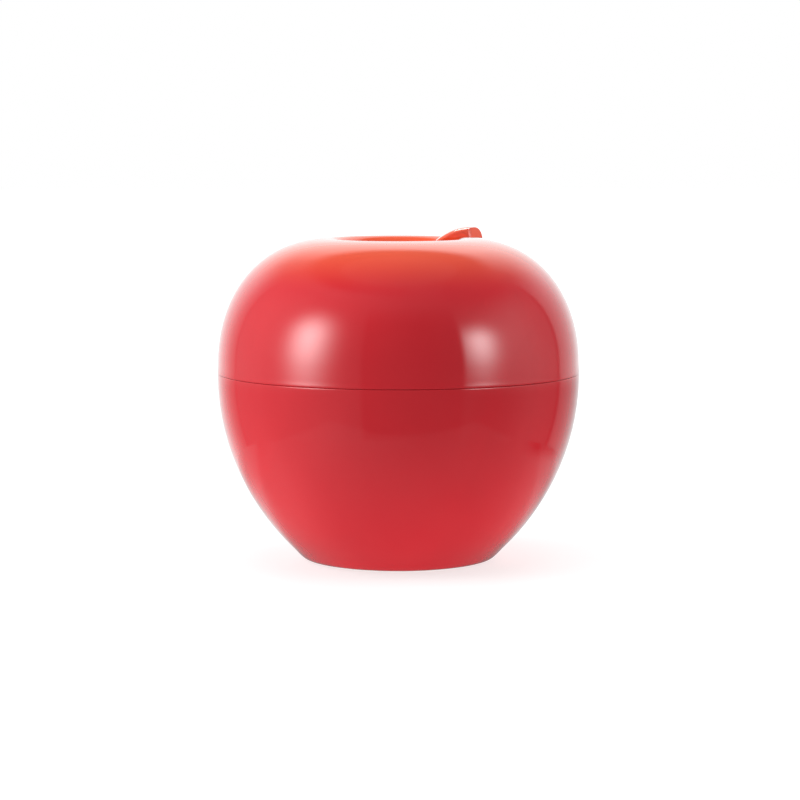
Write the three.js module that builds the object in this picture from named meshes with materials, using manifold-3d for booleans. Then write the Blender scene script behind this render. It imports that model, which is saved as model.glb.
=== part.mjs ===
// An apple-shaped peeler and corer that parts at its widest ring into two palm grips.
// The upper half carries a steel corer tube with a plunger that pushes the core out, and the lower half
// carries a swivel peeler on a tray. Millimetres, +Z up, origin on the table under the middle of the base.
import * as THREE from "three";
import { mergeVertices } from "three/addons/utils/BufferGeometryUtils.js";
import Module from "manifold-3d";

const wasm = await Module();
wasm.setup();

// ---------------------------------------------------------------- driving dimensions

// Outer form
const shellRadius = 48; // widest radius, at the seam
const seamHeight = 49.7; // where the halves part
const crownHeight = 85.4; // top of the ring round the dimple
const crownRadius = 18.3; // radius of that ring
const dimpleDepth = 10; // from the crown down to the floor of the stem dimple
const dimpleFloorRadius = 7.8;
const baseRadius = 24.4; // flat underside
const cornerWidth = 4.5; // rounded foot of the belly, outward
const cornerHeight = 3.6; // and upward
const bellyAngle = THREE.MathUtils.degToRad(44.6); // slope where the belly leaves the foot
const wall = 2.4; // moulded wall of both shells
const gap = 0.3; // clearance between neighbouring pieces
const ribThickness = 1.4;

// Lap joint at the seam
const tongueHeight = 4.7; // upstand of the lower half inside the upper one
const tongueWall = 1.6;
const lipWall = 1.1; // what is left of the upper wall outside the tongue
const edgeBreak = 0.2; // chamfer on the two edges that meet at the seam
const sealHeight = 1.5; // silicone ring round the tongue
const sealDepth = 0.9;

// Foot ring
const footProud = 0.5; // how far it stands below the shell
const footWidth = 3;
const footThickness = 1.5;

// Screws
const screwRadius = 1.3;
const screwHeadRadius = 2.6;
const screwHeadHeight = 1.2;
const bossRadius = 3.2;
const trayScrewLength = 12;
const collarScrewLength = 9.5;
const yokeScrewLength = 9;
const boreDepth = 1; // how far each screw's hole runs on past its tip

// Tray in the lower half
const trayDrop = 7.7; // tray floor below the seam
const trayWall = 1.9;
const trayRimDrop = 0.6; // top of the tray's rim below the seam
const wellClearance = 2.2; // room between the corer tube and the well that guards it

// Corer
const tubeRadius = 10;
const tubeWall = 0.7;
const tubeDraw = 0.3; // how far the tube draws in at its mouth
const mouthLength = 6; // over this length
const tipClearance = 2; // tips of the teeth above the floor of the well
const toothCount = 16;
const toothDepth = 2.4;
const slitWidth = 2.6; // opening left along the rolled tube
const sleeveWall = 2; // collar round the top of the tube
const sleeveLength = 5.6;
const plugLength = 3;
const collarThickness = 3.6;
const rivetRadius = 1.1;

// Plunger
const rodRadius = 2.6;
const neckRadius = 1.7; // rod where it passes through the piston
const grooveRadius = 1.1; // groove in the neck for the clip
const clipThickness = 0.8;
const pistonThickness = 4;
const pistonWall = 1.4;
const ringCord = 1.4; // thickness of the O-ring round the rod
const pinRadius = 0.8; // cross pin that fixes the stem to the rod

// Stem handle
const stemReach = 22.2; // end of the arm, which points along +X
const stemWidth = 8;
const stemNeck = 5; // width where the arm leaves the hub
const stemRound = 1.1; // rounding of its near edge
const stemFlat = 3.6; // level part of its top, back from the end
const stemNose = 2.2; // how far its end rounds over at the top
const stemRoll = 3; // how far its far side rounds over
const stemFacet = 3; // slanting cut across its near corner, along the arm
const facetTurn = 47; // degrees from the near side that the cut faces towards the end
const facetLean = 9; // degrees that the cut leans back
const stemRise = 3; // top of the arm above the crown
const hubHeight = 4.6;

// Peeler
const bladeWidth = 10.4;
const bladeThickness = 0.8;
const bladeCurve = 9; // radius of the blade's arched section
const bladeHang = 0.3; // its crest below the pins
const bladeSwing = THREE.MathUtils.degToRad(27); // swivel each way before it meets the stops
const bladeSlot = 2.4;
const slotMargin = 3.4; // metal left at each end of the slot
const cheekRadius = 2.9; // ear of the blade round its pin
const pivotRadius = 1.2;
const pivotDepth = 2.2; // how far each pin reaches in past the end of the blade
const armThickness = 3.6;
const stopDepth = 1.3; // how far the stops stand out from the arms
const armHeadRadius = 4.2;
const yokeFoot = 11; // width of the yoke on the tray
const yokeBar = 4;
const peelerHeadroom = 1.5; // above its arms

const roundSteps = 36; // facets round the shells
const tubeSteps = 32; // round the collar, tube and piston
const smallSteps = 12; // round pins and screws

// ---------------------------------------------------------------- derived places

const tongueOuter = shellRadius - lipWall - gap;
const tongueInner = tongueOuter - tongueWall;
const tongueTop = seamHeight + tongueHeight;
const sealBottom = seamHeight + (tongueHeight - sealHeight) / 2;
const sealInner = tongueOuter - sealDepth + gap;
const sealOuter = shellRadius - lipWall - gap / 2;

const floorTop = footProud + wall + 0.5; // the floor of the lower shell is a little thicker than its wall
const dimpleFloor = crownHeight - dimpleDepth;
const crownCeiling = dimpleFloor - wall; // underside of the dimple's floor

const trayTop = seamHeight - trayDrop;
const trayUnder = trayTop - trayWall;
const trayRimOuter = tongueInner - gap - 0.2;
const trayRimWall = 1.5;
const wellRadius = tubeRadius + wellClearance;
const wellOuter = wellRadius + trayWall;
const postCircle = wellOuter + 1.8; // screw posts, half sunk in the wall of the well
const postBearings = bearings(3, Math.PI / 2);
const postBottom = floorTop + gap;
const traySeat = footProud + screwHeadHeight + gap / 2; // under the heads of the tray's screws
const wellFloor = postBottom + trayWall;
const footInner = postCircle + screwHeadRadius + 1.2;
const footOuter = footInner + footWidth;

const tubeInner = tubeRadius - tubeWall;
const tubeTip = wellFloor + tipClearance;
const collarTop = crownCeiling - gap;
const collarUnder = collarTop - collarThickness;
const collarSocket = tubeRadius + gap;
const collarPlug = tubeInner - gap;
const sleeveRadius = collarSocket + sleeveWall;
const sleeveBottom = collarUnder - sleeveLength;
const slitTop = sleeveBottom - 1;
const earCircle = crownRadius - 3.1; // screws that hold the collar, under the inside of the crown
const earRadius = screwHeadRadius + 1.1;
const earUnder = collarUnder + 0.6;
const collarSeat = earUnder - gap / 2;
const earBearings = bearings(3, Math.PI / 3);
const rivetHeight = collarUnder - plugLength / 2;

const bushRadius = dimpleFloorRadius - 1.9;
const bushFlange = bushRadius + 2.6;
const bushSeat = collarTop - 1.6; // underside of its flange, sunk in the collar
const bushBore = rodRadius + gap;
const ringSeat = bushBore + ringCord + gap;
const ringTop = bushSeat + ringCord + gap;

const pistonRadius = tubeInner - 2 * gap;
const pistonBottom = tubeTip + toothDepth + gap;
const pistonTop = pistonBottom + pistonThickness;
const clipTop = pistonBottom - gap / 2;
const hubRadius = bushRadius + 0.1;
const hubBottom = dimpleFloor + gap;
const hubTop = hubBottom + hubHeight;
const rodTop = hubTop - 1;
const pinHeight = hubBottom + 0.45 * hubHeight;
const stemTop = crownHeight + stemRise;

const peelerOffset = 0.5625 * shellRadius; // swivel axis of the blade, from the apple's axis
const bladeLength = 0.78 * shellRadius;
const bladeEnd = bladeLength / 2;
const armInner = bladeEnd + 0.5;
const armOuter = armInner + armThickness;
const peelerCorner = Math.hypot(peelerOffset + armHeadRadius, armOuter); // its furthest point from the axis
// As high as the dome allows.
const bladeAxis = roofHeight(peelerCorner + wall) - wall - armHeadRadius - peelerHeadroom;
const bladeHalf = Math.asin(bladeWidth / 2 / bladeCurve); // half the angle of the arch
const archCentre = bladeAxis - bladeHang - bladeCurve;
const archInside = bladeCurve - bladeThickness;
const stopHeight = bladeAxis - archInside * Math.sin(bladeHalf) * Math.sin(bladeSwing) -
  (bladeAxis - archCentre - archInside * Math.cos(bladeHalf)) * Math.cos(bladeSwing);
const yokeBottom = trayTop + gap;
const yokeTop = yokeBottom + yokeBar;
const yokeScrews = [-0.6 * armInner, 0.6 * armInner];
const yokeSeat = yokeTop - screwHeadHeight - gap / 2;
const yokeScrewTip = yokeSeat - yokeScrewLength;

// ---------------------------------------------------------------- materials

const plastic = (color, roughness) => new THREE.MeshStandardMaterial({ color, roughness, metalness: 0 });
const steel = (roughness) => new THREE.MeshStandardMaterial({ color: 0xc4c6c8, roughness, metalness: 1 });
const appleRed = plastic(0xc8202c, 0.12);
const fleshWhite = plastic(0xf1ead9, 0.35);
const silicone = plastic(0xd9d4cc, 0.7);
const sheetSteel = steel(0.28);
const turnedSteel = steel(0.4);

// ---------------------------------------------------------------- shape helpers

// A closed geometry as a solid: only positions count, shared corners are merged, collapsed faces dropped.
function solid(geometry) {
  const bare = new THREE.BufferGeometry();
  bare.setAttribute("position", geometry.getAttribute("position"));
  if (geometry.index) bare.setIndex(geometry.index);
  const merged = mergeVertices(bare, 1e-4);
  const corners = merged.index.array;
  const kept = [];
  for (let i = 0; i < corners.length; i += 3) {
    const [a, b, c] = corners.slice(i, i + 3);
    if (a !== b && b !== c && c !== a) kept.push(a, b, c);
  }
  return new wasm.Manifold(new wasm.Mesh({
    numProp: 3,
    vertProperties: merged.attributes.position.array,
    triVerts: new Uint32Array(kept),
  }));
}

// A solid back as a geometry.
function geometryOf(shape) {
  const { vertProperties, triVerts } = shape.getMesh();
  const geometry = new THREE.BufferGeometry();
  geometry.setAttribute("position", new THREE.BufferAttribute(vertProperties, 3));
  geometry.setIndex(new THREE.BufferAttribute(triVerts, 1));
  return geometry;
}

function piece(name, shape, material) {
  const geometry = geometryOf(shape);
  geometry.computeVertexNormals();
  const mesh = new THREE.Mesh(geometry, material);
  mesh.name = name;
  return mesh;
}

const join = (...shapes) => shapes.reduce((whole, shape) => whole.add(shape));
const cutFrom = (whole, ...tools) => tools.reduce((left, tool) => left.subtract(tool), whole);

// A profile of [radius, height] points turned round the vertical axis, which it starts and ends on.
function turned(profile, steps = smallSteps) {
  const points = profile.map(([r, z]) => new THREE.Vector2(r, z));
  return solid(new THREE.LatheGeometry(points, steps).rotateX(Math.PI / 2));
}

// The same for a profile clear of the axis, which closes on its own first point.
const turnedRing = (profile, steps) => turned([...profile, profile[0]], steps);

// An upright cylinder between two heights, over the point x, y.
const column = (radius, bottom, top, x = 0, y = 0, steps = smallSteps) =>
  solid(new THREE.CylinderGeometry(radius, radius, top - bottom, steps)
    .rotateX(Math.PI / 2).translate(x, y, (bottom + top) / 2));

// A cylinder along Y.
const crossPin = (radius, z, y0, y1) =>
  solid(new THREE.CylinderGeometry(radius, radius, y1 - y0, smallSteps).translate(0, (y0 + y1) / 2, z));

// A box from its lowest to its highest corner, turned round the vertical axis.
function block([x0, y0, z0], [x1, y1, z1], bearing = 0) {
  return solid(new THREE.BoxGeometry(x1 - x0, y1 - y0, z1 - z0)
    .translate((x0 + x1) / 2, (y0 + y1) / 2, (z0 + z1) / 2).rotateZ(bearing));
}

// An upright rib that stands radially, from the given radius out past the shell.
const rib = (from, bottom, top, bearing) =>
  block([from, -ribThickness / 2, bottom], [shellRadius, ribThickness / 2, top], bearing);

// An outline in X and Z made thick along Y, from y0 to y1.
const slabAlongY = (outline, y0, y1, curveSegments = 6) =>
  solid(new THREE.ExtrudeGeometry(outline, { depth: y1 - y0, bevelEnabled: false, curveSegments })
    .rotateX(Math.PI / 2).translate(0, y1, 0));

// An outline in Y and Z made thick along X, from x0 to x1, turned round the vertical axis.
const slabAlongX = (outline, x0, x1, bearing = 0, curveSegments = 6) =>
  solid(new THREE.ExtrudeGeometry(outline, { depth: x1 - x0, bevelEnabled: false, curveSegments })
    .rotateX(Math.PI / 2).rotateZ(Math.PI / 2).translate(x0, 0, 0).rotateZ(bearing));

// count bearings spaced evenly from the first one.
function bearings(count, first) {
  return Array.from({ length: count }, (_, i) => first + (i * 2 * Math.PI) / count);
}

const onCircle = (radius, bearing) => [radius * Math.cos(bearing), radius * Math.sin(bearing)];

// ---------------------------------------------------------------- the apple's curves

function cubic(steps, ...controls) {
  const curve = new THREE.CubicBezierCurve(...controls.map(([r, z]) => new THREE.Vector2(r, z)));
  return curve.getPoints(steps).map((p) => [p.x, p.y]);
}

// The rounded foot of the belly, from the flat underside.
function footCurve(steps) {
  const end = [baseRadius + cornerWidth, footProud + cornerHeight];
  const lead = 0.6 * Math.hypot(cornerWidth, cornerHeight);
  const trail = [end[0] - lead * Math.cos(bellyAngle), end[1] - lead * Math.sin(bellyAngle)];
  return cubic(steps, [baseRadius, footProud], [baseRadius + 0.3 * cornerWidth, footProud], trail, end);
}

// The belly, from its foot up to the seam.
function bellyCurve(steps) {
  const start = [baseRadius + cornerWidth, footProud + cornerHeight];
  const rise = seamHeight - start[1];
  const lead = 0.29 * rise;
  const leave = [start[0] + lead * Math.cos(bellyAngle), start[1] + lead * Math.sin(bellyAngle)];
  return cubic(steps, start, leave, [shellRadius, seamHeight - 0.452 * rise], [shellRadius, seamHeight]);
}

// The shoulder, from the seam up to the crown.
function crownCurve(steps) {
  const lead = 0.59 * (crownHeight - seamHeight);
  const trail = 0.623 * (shellRadius - crownRadius);
  return cubic(steps, [shellRadius, seamHeight], [shellRadius, seamHeight + lead],
    [crownRadius + trail, crownHeight], [crownRadius, crownHeight]);
}

// The dimple, from the crown down to its floor.
function dimpleCurve(steps) {
  const width = crownRadius - dimpleFloorRadius;
  return cubic(steps, [crownRadius, crownHeight], [crownRadius - 0.48 * width, crownHeight],
    [dimpleFloorRadius + 0.45 * width, dimpleFloor], [dimpleFloorRadius, dimpleFloor]);
}

// Height of the apple's top over a given radius.
function roofHeight(radius) {
  const curve = [...crownCurve(80), ...dimpleCurve(80).slice(1)];
  const next = curve.findIndex(([r]) => r <= radius);
  if (next < 1) return dimpleFloor;
  const [[r0, z0], [r1, z1]] = [curve[next - 1], curve[next]];
  return z0 + ((z1 - z0) * (r0 - radius)) / (r0 - r1);
}

// A curve moved square to itself, to the left of its direction.
function inset(curve, distance) {
  return curve.map(([r, z], i) => {
    const [r0, z0] = curve[Math.max(0, i - 1)];
    const [r1, z1] = curve[Math.min(curve.length - 1, i + 1)];
    const length = Math.hypot(r1 - r0, z1 - z0);
    return [r - ((z1 - z0) / length) * distance, z + ((r1 - r0) / length) * distance];
  });
}

// ---------------------------------------------------------------- screws, pins and rings

// A pan-head screw with a cross recess. Its head bears at the height of the seat, and its thread points up
// or down from there.
function screw(x, y, seat, length, down = false) {
  const body = turned([
    [0, -screwHeadHeight], [screwHeadRadius - 0.5, -screwHeadHeight],
    [screwHeadRadius, 0.5 - screwHeadHeight], [screwHeadRadius, 0], [screwRadius, 0],
    [screwRadius, length - 1.2], [0, length],
  ]);
  const [long, short] = [0.6 * screwHeadRadius, 0.25];
  const recess = (w, h) => block([-w, -h, -screwHeadHeight - 1], [w, h, -screwHeadHeight / 2]);
  const made = cutFrom(body, recess(long, short), recess(short, long));
  const geometry = geometryOf(made).rotateX(down ? Math.PI : 0);
  return solid(geometry.translate(x, y, seat));
}

// A pin along Y with a head outside y = face, its other end at y = tip.
function headedPin(radius, z, tip, face) {
  const way = Math.sign(face - tip);
  const head = face + way * 0.6;
  return join(
    crossPin(radius, z, Math.min(tip, head), Math.max(tip, head)),
    crossPin(radius + 0.8, z, Math.min(face, head), Math.max(face, head)),
  );
}

// ---------------------------------------------------------------- lower half

function lowerShell() {
  const [grooveInner, grooveOuter] = [footInner - gap, footOuter + gap];
  const grooveTop = footThickness + gap;
  const inside = inset([...footCurve(2), ...bellyCurve(6).slice(1)], wall)
    .filter(([r, z]) => z > floorTop + 0.5 && z < trayUnder && r < tongueInner).reverse();
  let made = turned([
    [0, footProud], [grooveInner, footProud], [grooveInner, grooveTop], [grooveOuter, grooveTop],
    [grooveOuter, footProud],
    ...footCurve(3), ...bellyCurve(9).slice(1, -1),
    [shellRadius, seamHeight - edgeBreak], [shellRadius - edgeBreak, seamHeight], [tongueOuter, seamHeight],
    [tongueOuter, sealBottom - gap], [sealInner - gap, sealBottom - gap],
    [sealInner - gap, sealBottom + sealHeight + gap], [tongueOuter, sealBottom + sealHeight + gap],
    [tongueOuter, tongueTop - edgeBreak], [tongueOuter - edgeBreak, tongueTop],
    [tongueInner, tongueTop], [tongueInner, trayTop],
    ...inside, [baseRadius - wall, floorTop], [0, floorTop],
  ], roundSteps);

  // Six upright ribs on the inside of the belly carry the tray. They end half way into its wall.
  const ribTop = trayUnder - gap;
  const within = inset(bellyCurve(8), wall / 2);
  const filled = turned([[0, within[0][1]], ...within, [0, seamHeight]], roundSteps);
  for (const bearing of bearings(6, Math.PI / 6)) {
    made = made.add(rib(0.9 * tongueInner, ribTop / 2, ribTop, bearing).intersect(filled));
  }
  // Counterbored holes for the tray's screws.
  for (const bearing of postBearings) {
    const [x, y] = onCircle(postCircle, bearing);
    made = cutFrom(made, column(screwRadius + gap, 0, floorTop + 1, x, y),
      column(screwHeadRadius + gap, 0, footProud + screwHeadHeight + gap, x, y));
  }
  return made;
}

function footRing() {
  const ease = 0.3;
  return turnedRing([
    [footInner + ease, 0], [footOuter - ease, 0], [footOuter, ease], [footOuter, footThickness],
    [footInner, footThickness], [footInner, ease],
  ], tubeSteps);
}

function sealRing() {
  const ease = 0.25;
  const top = sealBottom + sealHeight;
  return turnedRing([
    [sealInner, sealBottom], [sealOuter - ease, sealBottom], [sealOuter, sealBottom + ease],
    [sealOuter, top - ease], [sealOuter - ease, top], [sealInner, top],
  ], roundSteps);
}

// The tray floor covers the hollow of the lower half. A well in its middle takes the end of the corer tube.
function tray() {
  const rimInner = trayRimOuter - trayRimWall;
  const rimTop = seamHeight - trayRimDrop;
  const seat = trayRimOuter - 1.4 * trayWall; // underside of the floor, inside the wall of the belly
  const guard = trayTop + 1.6; // low lip round the well
  let made = turned([
    [0, postBottom], [wellOuter - 1.2, postBottom], [wellOuter, postBottom + 1.2],
    [wellOuter, trayUnder], [seat, trayUnder], [trayRimOuter, trayTop], [trayRimOuter, rimTop - 0.4],
    [trayRimOuter - 0.4, rimTop], [rimInner, rimTop], [rimInner, trayTop + 1.6], [rimInner - 1.6, trayTop],
    [wellOuter, trayTop], [wellOuter - 0.6, guard], [wellRadius + 0.3, guard], [wellRadius, guard - 0.3],
    [wellRadius, wellFloor + 1], [wellRadius - 1, wellFloor], [0, wellFloor],
  ], roundSteps);

  // Webs stiffen the floor, from the well outward.
  for (const bearing of bearings(6, 0)) {
    const web = new THREE.Shape();
    web.moveTo(wellOuter - 0.5, trayUnder - 9);
    web.quadraticCurveTo(wellOuter + 3, trayUnder - 3, 0.85 * seat, trayUnder - 2);
    web.lineTo(0.85 * seat, trayUnder + 0.5);
    web.lineTo(wellOuter - 0.5, trayUnder + 0.5);
    web.closePath();
    const slab = slabAlongY(web, -ribThickness / 2, ribThickness / 2, 4);
    made = made.add(solid(geometryOf(slab).rotateZ(bearing)));
  }
  // Three posts stand on the shell's floor and take the screws from below.
  const wellHollow = column(wellRadius, wellFloor, guard, 0, 0, roundSteps);
  for (const bearing of postBearings) {
    const [x, y] = onCircle(postCircle, bearing);
    const post = column(bossRadius, postBottom, trayTop - 0.5, x, y).subtract(wellHollow);
    const bore = column(screwRadius + gap, postBottom - 1, traySeat + trayScrewLength + boreDepth, x, y);
    made = made.add(post).subtract(bore);
  }
  // Two bosses under the floor take the screws of the yoke.
  for (const y of yokeScrews) {
    const bottom = yokeScrewTip - boreDepth;
    made = made.add(column(bossRadius, bottom - trayWall, trayTop - 0.5, -peelerOffset, y))
      .subtract(column(screwRadius + gap, bottom, trayTop + 1, -peelerOffset, y));
  }
  return made;
}

// ---------------------------------------------------------------- peeler, modelled over the axis

// The yoke is a U across the tray, with arms that taper to a round head. The steps inside the arms stop the
// swing of the blade.
function yoke() {
  const round = 6;
  const inner = armInner - stopDepth;
  const top = bladeAxis + armHeadRadius + 1;
  const u = new THREE.Shape();
  u.moveTo(-armOuter + round, yokeBottom);
  u.lineTo(armOuter - round, yokeBottom);
  u.quadraticCurveTo(armOuter, yokeBottom, armOuter, yokeBottom + round);
  u.lineTo(armOuter, top);
  u.lineTo(armInner, top);
  u.lineTo(armInner, stopHeight);
  u.lineTo(inner, stopHeight);
  u.lineTo(inner, yokeTop + round / 2);
  u.quadraticCurveTo(inner, yokeTop, inner - round / 2, yokeTop);
  u.lineTo(-inner + round / 2, yokeTop);
  u.quadraticCurveTo(-inner, yokeTop, -inner, yokeTop + round / 2);
  u.lineTo(-inner, stopHeight);
  u.lineTo(-armInner, stopHeight);
  u.lineTo(-armInner, top);
  u.lineTo(-armOuter, top);
  u.lineTo(-armOuter, yokeBottom + round);
  u.quadraticCurveTo(-armOuter, yokeBottom, -armOuter + round, yokeBottom);

  const half = yokeFoot / 2;
  const side = new THREE.Shape();
  side.moveTo(-half, yokeBottom);
  side.lineTo(half, yokeBottom);
  side.lineTo(half, yokeTop);
  side.quadraticCurveTo(armHeadRadius - 0.8, yokeTop + 4, armHeadRadius, bladeAxis);
  side.absarc(0, bladeAxis, armHeadRadius, 0, Math.PI, false);
  side.quadraticCurveTo(-armHeadRadius + 0.8, yokeTop + 4, -half, yokeTop);

  const body = slabAlongX(u, -half, half).intersect(slabAlongY(side, -armOuter, armOuter));
  const seat = yokeTop - screwHeadHeight - gap;
  return cutFrom(body, crossPin(pivotRadius + gap, bladeAxis, -armOuter - 1, armOuter + 1),
    ...yokeScrews.map((y) => column(screwRadius + gap, yokeBottom - 1, seat + 1, 0, y)),
    ...yokeScrews.map((y) => column(screwHeadRadius + gap, seat, yokeTop + 1, 0, y)));
}

// The blade is an arched strip hung from two ears. Its slot is ground from below, so both long edges of the
// slot are sharp at the top.
function blade() {
  const [from, to] = [Math.PI / 2 - bladeHalf, Math.PI / 2 + bladeHalf];
  const arch = new THREE.Shape();
  arch.absarc(0, archCentre, bladeCurve, from, to, false);
  arch.absarc(0, archCentre, archInside, to, from, true);
  arch.closePath();

  const ear = new THREE.Shape();
  ear.absarc(0, archCentre, archInside, from, to, false);
  ear.lineTo(bladeCurve * Math.cos(to), archCentre + bladeCurve * Math.sin(to));
  ear.lineTo(-cheekRadius, bladeAxis);
  ear.absarc(0, bladeAxis, cheekRadius, Math.PI, 0, true);
  ear.lineTo(bladeCurve * Math.cos(from), archCentre + bladeCurve * Math.sin(from));
  ear.closePath();

  const slotEnd = bladeEnd - slotMargin;
  const crest = archCentre + bladeCurve;
  const slot = new THREE.Shape();
  slot.moveTo(-bladeSlot, crest - 2 * bladeThickness);
  slot.lineTo(bladeSlot, crest - 2 * bladeThickness);
  slot.lineTo(bladeSlot / 2, crest - 0.1);
  slot.lineTo(bladeSlot / 2, crest + 1);
  slot.lineTo(-bladeSlot / 2, crest + 1);
  slot.lineTo(-bladeSlot / 2, crest - 0.1);
  slot.closePath();

  const strip = slabAlongY(arch, -bladeEnd, bladeEnd).subtract(slabAlongY(slot, -slotEnd, slotEnd));
  return join(strip, slabAlongY(ear, -bladeEnd, bladeThickness - bladeEnd),
    slabAlongY(ear, bladeEnd - bladeThickness, bladeEnd))
    .subtract(crossPin(pivotRadius + gap, bladeAxis, -bladeEnd - 1, bladeEnd + 1));
}

// ---------------------------------------------------------------- upper half

function upperShell() {
  const lipBottom = seamHeight + gap;
  const lipInner = shellRadius - lipWall;
  const lipTop = tongueTop + gap + 0.4;
  const skin = [...crownCurve(12), ...dimpleCurve(6).slice(1)];
  const inside = [
    ...inset(crownCurve(7), wall).filter(([r, z]) => z > lipTop + 1.5 && r > crownRadius),
    ...inset(dimpleCurve(4), wall).filter(([r, z]) => z > crownCeiling + 0.2),
    [dimpleFloorRadius + 1, crownCeiling],
  ].reverse();
  let made = turnedRing([
    [shellRadius - edgeBreak, lipBottom], [shellRadius, lipBottom + edgeBreak], ...skin.slice(1),
    [bushRadius + gap, dimpleFloor], [bushRadius + gap, crownCeiling],
    ...inside, [tongueInner + 0.5, lipTop + 1], [lipInner, lipTop], [lipInner, lipBottom],
  ], roundSteps);

  // Bosses under the dimple take the collar's screws, and webs tie them to the dome. All end inside the wall.
  const within = inset(skin, wall / 2).filter(([r]) => r > dimpleFloorRadius);
  const filled = turned([[0, seamHeight], ...within, [0, within.at(-1)[1]]], roundSteps);
  const webBottom = dimpleFloor + 1.6;
  for (const bearing of bearings(6, 0)) {
    made = made.add(rib(earCircle, webBottom, crownHeight, bearing).intersect(filled));
  }
  for (const bearing of earBearings) {
    const [x, y] = onCircle(earCircle, bearing);
    const boss = column(bossRadius, crownCeiling, crownHeight, x, y).intersect(filled);
    const boreTop = collarSeat + collarScrewLength + boreDepth;
    made = made.add(boss).subtract(column(screwRadius + gap, crownCeiling - 1, boreTop, x, y));
  }
  return made;
}

// The collar holds the tube between a sleeve outside and a plug inside, and the bush in a recess on top.
function collar() {
  const bore = bushBore + 0.2;
  let made = turnedRing([
    [bore, collarUnder - plugLength], [collarPlug - 0.5, collarUnder - plugLength],
    [collarPlug, collarUnder - plugLength + 0.5], [collarPlug, collarUnder + gap],
    [collarSocket, collarUnder + gap], [collarSocket, sleeveBottom], [sleeveRadius - 0.8, sleeveBottom],
    [sleeveRadius, sleeveBottom + 0.8], [sleeveRadius, collarTop], [bushFlange + gap, collarTop],
    [bushFlange + gap, bushSeat - gap], [bore, bushSeat - gap],
  ], tubeSteps);
  for (const bearing of earBearings) {
    const [x, y] = onCircle(earCircle, bearing);
    const arm = block([sleeveRadius - 1.5, -earRadius, earUnder], [earCircle, earRadius, collarTop], bearing);
    made = join(made, column(earRadius, earUnder, collarTop, x, y), arm);
    made = made.subtract(column(screwRadius + gap, earUnder - 1, collarTop + 1, x, y));
  }
  const reach = collarPlug - 1.4;
  return cutFrom(made, crossPin(rivetRadius + gap, rivetHeight, reach, sleeveRadius + 1),
    crossPin(rivetRadius + gap, rivetHeight, -sleeveRadius - 1, -reach));
}

// The corer is a sheet rolled into a tube, left open along one side, with its end cut into teeth.
function corerTube() {
  let made = turnedRing([
    [tubeInner - tubeDraw, tubeTip], [tubeRadius - tubeDraw, tubeTip], [tubeRadius, tubeTip + mouthLength],
    [tubeRadius, collarUnder], [tubeInner, collarUnder], [tubeInner, tubeTip + mouthLength],
  ], 2 * toothCount);
  const pitch = (2 * Math.PI * tubeRadius) / toothCount;
  const notch = new THREE.Shape();
  notch.moveTo(-0.46 * pitch, tubeTip - 0.4);
  notch.lineTo(0.46 * pitch, tubeTip - 0.4);
  notch.lineTo(0, tubeTip + toothDepth);
  notch.closePath();
  for (const bearing of bearings(toothCount, Math.PI / toothCount)) {
    made = made.subtract(slabAlongX(notch, tubeInner - 2, tubeRadius + 1, bearing));
  }
  return cutFrom(made,
    block([tubeInner - 2, -slitWidth / 2, tubeTip - 1], [tubeRadius + 1, slitWidth / 2, slitTop]),
    crossPin(rivetRadius + gap, rivetHeight, -tubeRadius - 1, tubeRadius + 1));
}

function plungerBush() {
  return turnedRing([
    [bushBore, ringTop], [ringSeat, ringTop], [ringSeat, bushSeat], [bushFlange, bushSeat],
    [bushFlange, collarTop], [bushRadius, collarTop], [bushRadius, dimpleFloor - 0.4],
    [bushRadius - 0.4, dimpleFloor], [bushBore, dimpleFloor],
  ], 24);
}

function rodRing() {
  const middle = (bushBore + ringSeat) / 2;
  return solid(new THREE.TorusGeometry(middle, ringCord / 2, 6, 20)
    .translate(0, 0, bushSeat + gap / 2 + ringCord / 2));
}

// ---------------------------------------------------------------- plunger

function plungerRod() {
  const clipBottom = clipTop - clipThickness;
  const slack = gap / 2;
  return turned([
    [0, clipBottom - 1.2], [neckRadius - 0.3, clipBottom - 1.2], [neckRadius, clipBottom - 0.9],
    [neckRadius, clipBottom - slack], [grooveRadius, clipBottom - slack], [grooveRadius, clipTop + slack / 2],
    [neckRadius, clipTop + slack / 2], [neckRadius, pistonTop + slack], [rodRadius, pistonTop + slack],
    [rodRadius, rodTop - 0.6], [rodRadius - 0.6, rodTop], [0, rodTop],
  ]).subtract(crossPin(pinRadius + gap, pinHeight, -rodRadius - 1, rodRadius + 1));
}

// The piston is an upturned cup with a hub. Its key runs in the slit of the tube, so the stem can't turn.
function piston() {
  const bore = neckRadius + gap;
  const skirt = pistonRadius - pistonWall;
  const cup = turnedRing([
    [bore, pistonBottom], [pistonRadius - 0.8, pistonBottom], [pistonRadius, pistonBottom + 0.8],
    [pistonRadius, pistonTop], [skirt, pistonTop], [skirt, pistonBottom + pistonWall],
    [bore + pistonWall, pistonBottom + pistonWall], [bore + pistonWall, pistonTop], [bore, pistonTop],
  ], tubeSteps);
  const key = slitWidth / 2 - gap;
  return cup.add(block([skirt + 0.3, -key, pistonBottom + 1.2], [tubeRadius - 0.2, key, pistonTop - 0.3]));
}

function pistonClip() {
  const [inner, outer] = [grooveRadius + gap / 2, neckRadius + 1.6];
  const bottom = clipTop - clipThickness;
  const disc = turnedRing([[inner, bottom], [outer, bottom], [outer, clipTop], [inner, clipTop]], 20);
  const mouth = 0.8 * grooveRadius;
  return disc.subtract(block([0, -mouth, bottom - 1], [outer + 1, mouth, clipTop + 1]));
}

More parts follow.
